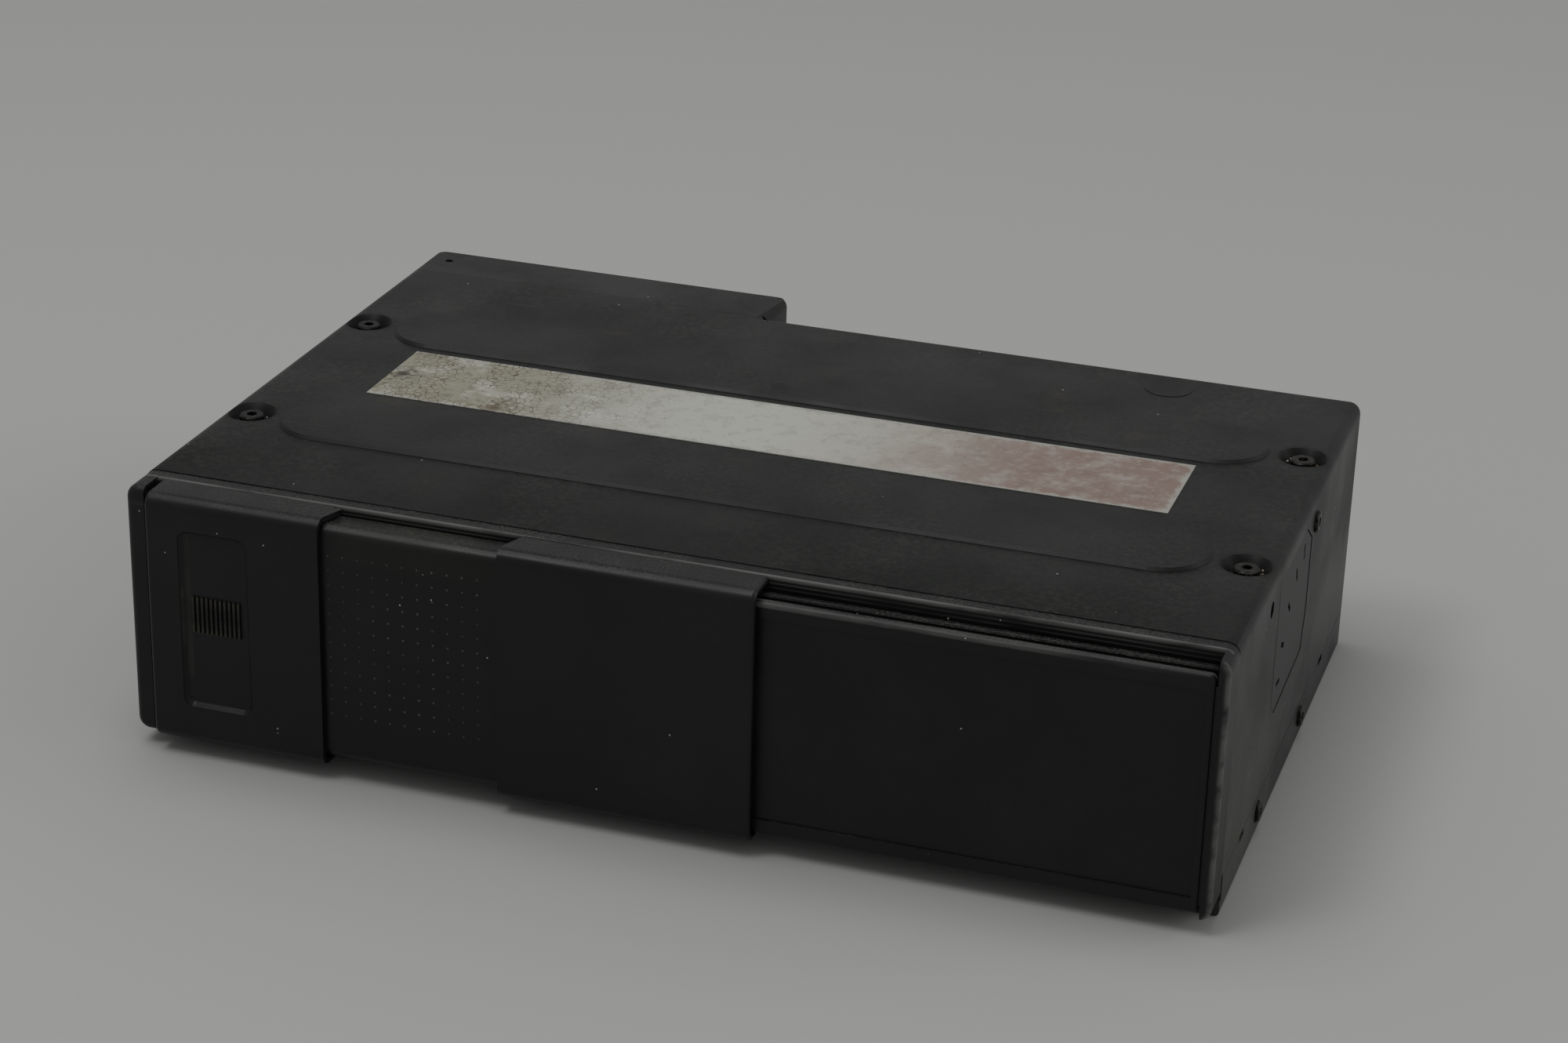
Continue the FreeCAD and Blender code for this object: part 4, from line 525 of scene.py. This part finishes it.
def makeFilmLabel():
    look = filmLabel
    material, tree, shader = newMaterial("filmLabel", roughness=look["roughness"], specular=look["specular"])
    low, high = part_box("top_label")
    length = high[0] - low[0]
    axes = objectAxes(tree)
    leftFull, leftGone = (low[0] + length * share for share in look["leftEnd"])
    leftEnd = rangeOf(tree, axes["X"], leftFull, leftGone, 1.0, 0.0)
    rightStart, rightFull = (low[0] + length * share for share in look["rightEnd"])
    rightEnd = rangeOf(tree, axes["X"], rightStart, rightFull)
    yellowed = times(tree, leftEnd, patchesOf(tree, look["patchy"]))
    colour = mixColour(tree, yellowed, look["white"], look["yellowed"])
    # the right end has faded to pink, with bleached flecks
    mottle = noiseOf(tree, **look["mottle"])
    faded = mathOf(tree, "ADD", mottle, times(tree, rightEnd, look["mottleLift"]))
    faded = rangeOf(tree, faded, *look["fadedRange"])
    pinkish = times(tree, rightEnd, times(tree, faded, look["pinkAmount"]))
    colour = mixColour(tree, pinkish, colour, look["pink"])
    bleached = times(tree, rightEnd, patchesOf(tree, look["bleached"]))
    bleached = times(tree, bleached, look["bleachAmount"])
    colour = mixColour(tree, bleached, colour, look["white"])
    # a ragged worn border along three edges
    fromFront = mathOf(tree, "SUBTRACT", axes["Y"], low[1])
    fromRear = mathOf(tree, "SUBTRACT", high[1], axes["Y"])
    fromRight = mathOf(tree, "SUBTRACT", high[0], axes["X"])
    inward = mathOf(tree, "MINIMUM", mathOf(tree, "MINIMUM", fromFront, fromRear), fromRight)
    ragged = times(tree, noiseOf(tree, **look["ragged"]), look["raggedDepth"])
    ragged = mathOf(tree, "ADD", inward, ragged)
    border = rangeOf(tree, ragged, *look["borderRange"])
    colour = mixColour(tree, border, colour, look["border"])
    # cracks and grime, most of them at the left end
    cells = addNode(tree, "TexVoronoi", feature="DISTANCE_TO_EDGE")
    coords = addNode(tree, "TexCoord")
    tree.links.new(coords.outputs["Object"], cells.inputs["Vector"])
    cells.inputs["Scale"].default_value = look["crackScale"]
    crack = rangeOf(tree, cells.outputs["Distance"], *look["crackRange"])
    crack = times(tree, crack, patchesOf(tree, look["crackedAreas"]))
    crackMask = times(tree, crack, mathOf(tree, "ADD", leftEnd, look["crackAnywhere"]))
    colour = mixColour(tree, times(tree, crackMask, look["crackAmount"]), colour, look["brown"])
    grime = patchesOf(tree, look["grime"])
    grimy = mathOf(tree, "ADD", times(tree, leftEnd, look["grimeAtLeft"]), look["grimeAnywhere"])
    colour = mixColour(tree, times(tree, grime, grimy), colour, look["brown"])
    speckle = patchesOf(tree, look["speckle"])
    for mark in look["spots"]:
        spot = times(tree, nearPoint(tree, mark["place"], mark["reach"], look["spotInner"]), speckle)
        core = nearPoint(tree, mark["place"], mark["reach"] * look["coreShare"], look["coreInner"])
        spot = mathOf(tree, "MAXIMUM", spot, core)
        colour = mixColour(tree, times(tree, spot, look["spotAmount"]), colour, look[mark["tone"]])
    wornThrough = times(tree, patchesOf(tree, look["wornThrough"]), look["wornAmount"])
    colour = mixColour(tree, wornThrough, colour, look["grey"])
    setBase(tree, shader, colour)
    addBump(tree, shader, mathOf(tree, "SUBTRACT", grime, crackMask), look["bumpDepth"])
    return material


# plain finishes, each with its own wear

metalLook = {
    "tarnish": (0.30, 0.28, 0.25),
    "smudges": {"Amount": 0.45, "Scale": 120.0},
    "streakScale": 300.0,
    "streakDetail": 3.0,
    "brushStretch": 30,
    "hazeRange": (0.3, 0.7),
    "glossier": 0.07,
    "duller": 0.09,
    "bumpDepth": 0.00001,
}


def makeMetal(name, colour, roughness, brushed=0.0):
    look = metalLook
    material, tree, shader = newMaterial(name, metallic=1.0)
    smudges = effect(tree, smudgeGroup, **look["smudges"])
    setBase(tree, shader, mixColour(tree, smudges, colour, look["tarnish"]))
    stretch = (1, 1 + brushed * look["brushStretch"], 1)
    streaks = noiseOf(tree, look["streakScale"], detail=look["streakDetail"], stretch=stretch)
    haze = rangeOf(tree, streaks, *look["hazeRange"], roughness - look["glossier"], roughness + look["duller"])
    tree.links.new(haze, shader.inputs["Roughness"])
    addBump(tree, shader, streaks, look["bumpDepth"])
    return material


screwLook = {
    "dark": (0.014, 0.0135, 0.013),
    "rusty": (0.030, 0.020, 0.014),
    "specular": 0.4,
    "patches": {"noise": {"scale": 700.0, "detail": 5.0}, "range": (0.46, 0.60)},
    "towardsRight": (-0.02, 0.06, 0.10, 0.65),
    "roughness": (0.0, 1.0, 0.32, 0.75),
    "metallic": (0.0, 0.6, 0.85, 0.0),
    "bumpDepth": 0.00008,
}


def makeScrewMetal():
    # the screws at the right are the rustiest
    look = screwLook
    material, tree, shader = newMaterial("screwMetal", specular=look["specular"])
    rusty = patchesOf(tree, look["patches"])
    side = rangeOf(tree, objectAxes(tree)["X"], *look["towardsRight"])
    mask = times(tree, rusty, side)
    setBase(tree, shader, mixColour(tree, mask, look["dark"], look["rusty"]))
    tree.links.new(rangeOf(tree, mask, *look["roughness"]), shader.inputs["Roughness"])
    tree.links.new(rangeOf(tree, mask, *look["metallic"]), shader.inputs["Metallic"])
    addBump(tree, shader, rusty, look["bumpDepth"])
    return material


mouldedLook = {
    "specular": 0.4,
    "shade": 0.72,
    "dust": (0.16, 0.155, 0.14),
    "smudges": {"Amount": 0.5, "Scale": 60.0},
    "dustScale": 80.0,
    "grain": {"Scale": 2200.0, "Coarse": 0.4},
}


def makeMoulded(name, colour, roughness, dust=0.1, grain=0.00002):
    look = mouldedLook
    material, tree, shader = newMaterial(name, roughness=roughness, specular=look["specular"])
    darker = tuple(part * look["shade"] for part in colour)
    base = mixColour(tree, effect(tree, smudgeGroup, **look["smudges"]), colour, darker)
    settled = effect(tree, dustGroup, Amount=dust, Scale=look["dustScale"])
    setBase(tree, shader, mixColour(tree, settled, base, look["dust"]))
    addBump(tree, shader, effect(tree, grainGroup, **look["grain"]), grain)
    return material


boardLook = {
    "roughness": 0.38,
    "cellScale": 180.0,
    "trackWidth": 0.03,
    "green": (0.010, 0.070, 0.030),
    "paler": (0.012, 0.085, 0.036),
    "tracks": (0.030, 0.150, 0.070),
    "smudge": (0.008, 0.05, 0.022),
    "smudges": {"Amount": 0.4, "Scale": 90.0},
}


def makeBoard():
    look = boardLook
    material, tree, shader = newMaterial("boardMask", roughness=look["roughness"])
    cells = addNode(tree, "TexBrick")
    coords = addNode(tree, "TexCoord")
    tree.links.new(coords.outputs["Object"], cells.inputs["Vector"])
    cells.inputs["Scale"].default_value = look["cellScale"]
    cells.inputs["Mortar Size"].default_value = look["trackWidth"]
    cells.inputs["Color1"].default_value = (*look["green"], 1)
    cells.inputs["Color2"].default_value = (*look["paler"], 1)
    cells.inputs["Mortar"].default_value = (*look["tracks"], 1)
    smudges = effect(tree, smudgeGroup, **look["smudges"])
    setBase(tree, shader, mixColour(tree, smudges, cells.outputs["Color"], look["smudge"]))
    return material


discLook = {
    "clearEdge": (0.0215, 0.0222),
    "silver": (0.74, 0.76, 0.80),
    "warmSilver": (0.80, 0.78, 0.74),
    "hub": (0.42, 0.43, 0.44),
    "tints": {"scale": 30.0, "detail": 2.0},
    "scratches": {"Amount": 0.6, "Scale": 60.0},
    "roughness": (0.0, 1.0, 0.10, 0.35),
}


def makeDiscFace():
    # a clear hub inside the mirror, measured from the discs' common axis
    look = discLook
    material, tree, shader = newMaterial("discFace", metallic=1.0)
    radius = addNode(tree, "VectorMath", operation="LENGTH")
    coords = addNode(tree, "TexCoord")
    mapping = addNode(tree, "Mapping")
    low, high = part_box("disc_6")
    mapping.inputs["Location"].default_value = (-(low[0] + high[0]) / 2, -(low[1] + high[1]) / 2, 0)
    mapping.inputs["Scale"].default_value = (1, 1, 0)
    tree.links.new(coords.outputs["Object"], mapping.inputs["Vector"])
    tree.links.new(mapping.outputs["Vector"], radius.inputs[0])
    clear = rangeOf(tree, radius.outputs["Value"], *look["clearEdge"])
    tint = mixColour(tree, noiseOf(tree, **look["tints"]), look["silver"], look["warmSilver"])
    setBase(tree, shader, mixColour(tree, clear, look["hub"], tint))
    tree.links.new(rangeOf(tree, clear, 0.0, 1.0), shader.inputs["Metallic"])
    scratches = effect(tree, scratchGroup, **look["scratches"])
    tree.links.new(rangeOf(tree, scratches, *look["roughness"]), shader.inputs["Roughness"])
    return material


lensLook = {
    "roughness": 0.05,
    "blue": (0.05, 0.08, 0.22),
    "violet": (0.10, 0.06, 0.24),
    "tintScale": 200.0,
    "coat": 1.0,
}


def makeLens():
    look = lensLook
    material, tree, shader = newMaterial("lensGlass", roughness=look["roughness"])
    tint = noiseOf(tree, look["tintScale"])
    setBase(tree, shader, mixColour(tree, tint, look["blue"], look["violet"]))
    shader.inputs["Coat Weight"].default_value = look["coat"]
    return material


materials = {
    "casePaint": makeCasePaint(),
    "bezelBlack": makeBlackPlastic("bezelBlack", roughness=0.40, dust=0.60, scratches=0.36, flecks=0.020,
                                   lines=bezelLinesAndHighlights, lineTone="rubbed"),
    "doorBlack": makeBlackPlastic("doorBlack", roughness=0.33, dust=0.50, scratches=0.26, flecks=0.011,
                                  lines=doorLines, lineTone="grime"),
    "filmLabel": makeFilmLabel(),
    "screwMetal": makeScrewMetal(),
    "zincPlate": makeMetal("zincPlate", (0.60, 0.59, 0.55), 0.34, brushed=0.6),
    "motorCan": makeMetal("motorCan", (0.64, 0.64, 0.62), 0.26),
    "springWire": makeMetal("springWire", (0.42, 0.42, 0.42), 0.30),
    "contactPlate": makeMetal("contactPlate", (0.83, 0.64, 0.30), 0.22),
    "adjusterGrey": makeMoulded("adjusterGrey", (0.022, 0.022, 0.022), 0.52, dust=0.2),
    "sealYellow": makeMoulded("sealYellow", (0.62, 0.46, 0.05), 0.35),
    "chipBlack": makeMoulded("chipBlack", (0.018, 0.018, 0.020), 0.45),
    "boardMask": makeBoard(),
    "damperRubber": makeMoulded("damperRubber", (0.020, 0.020, 0.020), 0.70),
    "acetalWhite": makeMoulded("acetalWhite", (0.72, 0.70, 0.64), 0.38),
    "magazineBlack": makeMoulded("magazineBlack", (0.016, 0.016, 0.017), 0.48, dust=0.25, grain=0.00004),
    "trayGrey": makeMoulded("trayGrey", (0.060, 0.060, 0.062), 0.50),
    "discFace": makeDiscFace(),
    "hubBlack": makeMoulded("hubBlack", (0.025, 0.025, 0.027), 0.42),
    "lensGlass": makeLens(),
}
print("materials made:", len(materials))

finishes = {
    "casePaint": ["top_cover", "cover_side_left", "cover_side_right", "cover_rear", "bottom_cover"],
    "bezelBlack": ["front_bezel", "eject_button"],
    "doorBlack": ["door_outer", "door_inner"],
    "filmLabel": ["top_label"],
    "screwMetal": ["cover_screws", "flange_screws", "side_screws"],
    "zincPlate": ["side_bracket_left", "side_bracket_right", "adjuster_left", "adjuster_right", "mech_chassis",
                  "lift_slide_front", "lift_slide_rear", "lift_shaft", "drive_pinion_shaft", "player_deck",
                  "guide_rods", "lead_screw", "clamp_pin", "clamp_arm"],
    "motorCan": ["lift_motor", "spindle_motor", "sled_motor"],
    "springWire": ["suspension_springs"],
    "contactPlate": ["socket_pins"],
    "adjusterGrey": ["adjuster_plate_left", "adjuster_plate_right", "eject_rod"],
    "sealYellow": ["transport_seals"],
    "chipBlack": ["board_parts", "signal_socket"],
    "boardMask": ["main_board"],
    "damperRubber": ["dampers"],
    "acetalWhite": ["lift_pinions", "drive_wheel", "drive_pinion"],
    "magazineBlack": ["magazine_shell"],
    "trayGrey": ["tray_%d" % level for level in range(1, 7)],
    "discFace": ["disc_%d" % level for level in range(1, 7)],
    "hubBlack": ["turntable", "pickup_sled", "clamp_puck"],
    "lensGlass": ["pickup_lens"],
}
for materialName, nodeNames in finishes.items():
    for nodeName in nodeNames:
        for materialSlot in nodes[nodeName].material_slots:
            materialSlot.material = materials[materialName]
print("finishes given to", sum(len(names) for names in finishes.values()), "nodes")


# pieces the scene adds

def finishPiece(name, mesh, body, material, smooth=True):
    bmesh.ops.recalc_face_normals(mesh, faces=mesh.faces)
    data = bpy.data.meshes.new(name)
    mesh.to_mesh(data)
    mesh.free()
    if smooth:
        data.shade_smooth()
    piece = bpy.data.objects.new(name, data)
    scene.collection.objects.link(piece)
    data.materials.append(material)
    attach(piece, body)
    return piece


gripDots = {
    "columns": 11,
    "rows": 12,
    "left": -0.0772,
    "right": -0.0408,
    "low": 0.0174,
    "high": 0.0570,
    "radius": 0.00030,
    "proud": 0.00006,
    "tongueDepth": 0.0016,
    "topShare": 0.6,
    "sides": 8,
    "colour": (0.075, 0.080, 0.078),
    "roughness": 0.5,
    "faded": {"noise": {"scale": 70.0, "detail": 3.0}, "range": (0.40, 0.62)},
    "leftShare": 0.25,
}


def makeGripDots():
    low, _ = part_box("door_inner")
    face = low[1] + gripDots["tongueDepth"]  # the tongue lies behind the thick part's face
    mesh = bmesh.new()
    across = gripDots["right"] - gripDots["left"]
    upward = gripDots["high"] - gripDots["low"]
    turned = Matrix.Rotation(math.radians(90), 4, "X")
    radius, proud = gripDots["radius"], gripDots["proud"]
    for row in range(gripDots["rows"]):
        for column in range(gripDots["columns"]):
            x = gripDots["left"] + across * column / (gripDots["columns"] - 1)
            z = gripDots["low"] + upward * row / (gripDots["rows"] - 1)
            place = Matrix.Translation((x, face - proud, z)) @ turned
            bmesh.ops.create_cone(mesh, cap_ends=True, segments=gripDots["sides"], radius1=radius,
                                  radius2=radius * gripDots["topShare"], depth=proud * 2, matrix=place)
    material, tree, shader = newMaterial("dotPaint", roughness=gripDots["roughness"])
    # the dots fade towards the left
    reach = (gripDots["left"], gripDots["right"], gripDots["leftShare"], 1.0)
    shown = times(tree, patchesOf(tree, gripDots["faded"]), rangeOf(tree, objectAxes(tree)["X"], *reach))
    setBase(tree, shader, mixColour(tree, shown, blackPlastic["worn"], gripDots["colour"]))
    finishPiece("gripDots", mesh, "door_inner", material, smooth=False)


screwCrumbs = {
    "count": 26,
    "seed": 7,
    "spread": 0.0042,
    "nearest": 0.75,
    "smallest": 0.00018,
    "largest": 0.00050,
    "topHeight": 0.066,
    "dimpleDepth": 0.0022,
    "dimpleRadius": 0.0060,
    "dimpleSlope": 0.0021,
    "unevenness": 0.3,
    "roughness": 0.85,
    "colours": ((0.14, 0.09, 0.055), (0.46, 0.42, 0.35)),
    "mixed": {"noise": {"scale": 900.0, "detail": 2.0}, "range": (0.45, 0.58)},
}


def makeScrewCrumbs():
    # crumbs lie round the heads of two screws, on the slope of each dimple
    look = screwCrumbs
    chance = random.Random(look["seed"])
    mesh = bmesh.new()
    for place in casePaint["rustyScrews"]:
        for _ in range(look["count"]):
            turn = chance.uniform(0, math.tau)
            reach = look["spread"] * (look["nearest"] + (1 - look["nearest"]) * chance.random())
            size = chance.uniform(look["smallest"], look["largest"])
            inward = max(0.0, (look["dimpleRadius"] - reach) / look["dimpleSlope"])
            height = look["topHeight"] - look["dimpleDepth"] * inward + size * 0.5
            spot = Vector((place[0] + reach * math.cos(turn), place[1] + reach * math.sin(turn), height))
            centred = Matrix.Translation(spot)
            crumb = bmesh.ops.create_icosphere(mesh, subdivisions=1, radius=size, matrix=centred)
            for vert in crumb["verts"]:
                shift = Vector([chance.uniform(-1, 1) for _ in range(3)])
                vert.co += shift * size * look["unevenness"]
    material, tree, shader = newMaterial("rustCrumbs", roughness=look["roughness"])
    mixed = patchesOf(tree, look["mixed"])
    setBase(tree, shader, mixColour(tree, mixed, *look["colours"]))
    finishPiece("screwCrumbs", mesh, "case", material)


makeGripDots()
makeScrewCrumbs()
print("small pieces made")


# floor, light and camera

studio = {
    "floorColour": (0.46, 0.46, 0.452),
    "floorSize": 8.0,
    "floorRoughness": 0.9,
    "floorSpecular": 0.1,
    "worldColour": (0.86, 0.875, 0.86),
    "worldStrength": 0.36,
    "backdropStrength": 0.85,
    "overhead": {"energy": 9.0, "size": 1.2, "place": (-0.3, -0.1, 1.7), "target": (0, 0, 0.03)},
    "edgeLight": {"energy": 2.2, "size": 0.4, "place": (-0.42, -0.62, 1.35), "target": (0, -0.06, 0.05)},
    "rightFill": {"energy": 6.0, "size": 1.2, "place": (1.7, 0.5, 0.8), "target": (0.1, 0, 0.03)},
    "cameraPlace": (0.23775, -0.73520, 0.37847),
    "cameraAzimuth": 17.796,
    "cameraElevation": 23.546,
    "cameraRoll": 1.591,
    "lens": 79.63,
    "sensorWidth": 36.0,
}


def makeFloor():
    mesh = bmesh.new()
    bmesh.ops.create_grid(mesh, x_segments=1, y_segments=1, size=studio["floorSize"])
    data = bpy.data.meshes.new("floor")
    mesh.to_mesh(data)
    mesh.free()
    floor = bpy.data.objects.new("floor", data)
    scene.collection.objects.link(floor)
    material, _, shader = newMaterial("floorPaper", studio["floorRoughness"], specular=studio["floorSpecular"])
    shader.inputs["Base Color"].default_value = (*studio["floorColour"], 1)
    data.materials.append(material)


def makeWorld():
    world = bpy.data.worlds.new("softRoom")
    scene.world = world
    world.use_nodes = True
    tree = world.node_tree
    background = tree.nodes["Background"]
    background.inputs["Color"].default_value = (*studio["worldColour"], 1)
    path = addNode(tree, "LightPath")
    strength = addNode(tree, "MapRange")
    tree.links.new(path.outputs["Is Camera Ray"], strength.inputs["Value"])
    strength.inputs["To Min"].default_value = studio["worldStrength"]
    strength.inputs["To Max"].default_value = studio["backdropStrength"]
    tree.links.new(strength.outputs["Result"], background.inputs["Strength"])


def makeLamp(name, lamp):
    data = bpy.data.lights.new(name, "AREA")
    data.energy = lamp["energy"]
    data.size = lamp["size"]
    made = bpy.data.objects.new(name, data)
    made.location = lamp["place"]
    aim = Vector(lamp["target"]) - Vector(lamp["place"])
    made.rotation_mode = "QUATERNION"
    made.rotation_quaternion = aim.to_track_quat("-Z", "Y")
    scene.collection.objects.link(made)


def makeCamera():
    data = bpy.data.cameras.new("camera")
    data.lens = studio["lens"]
    data.sensor_width = studio["sensorWidth"]
    data.sensor_fit = "HORIZONTAL"
    camera = bpy.data.objects.new("camera", data)
    camera.location = studio["cameraPlace"]
    azimuth = math.radians(studio["cameraAzimuth"])
    elevation = math.radians(studio["cameraElevation"])
    level = math.cos(elevation)
    back = Vector((math.sin(azimuth) * level, -math.cos(azimuth) * level, math.sin(elevation)))
    camera.rotation_mode = "QUATERNION"
    aim = (-back).to_track_quat("-Z", "Y")
    camera.rotation_quaternion = aim @ Quaternion((0, 0, 1), math.radians(studio["cameraRoll"]))
    scene.collection.objects.link(camera)
    scene.camera = camera


makeFloor()
makeWorld()
makeLamp("overheadLamp", studio["overhead"])
makeLamp("edgeLamp", studio["edgeLight"])
makeLamp("rightFillLamp", studio["rightFill"])
makeCamera()
scene.view_settings.view_transform = "Standard"
print("studio made")
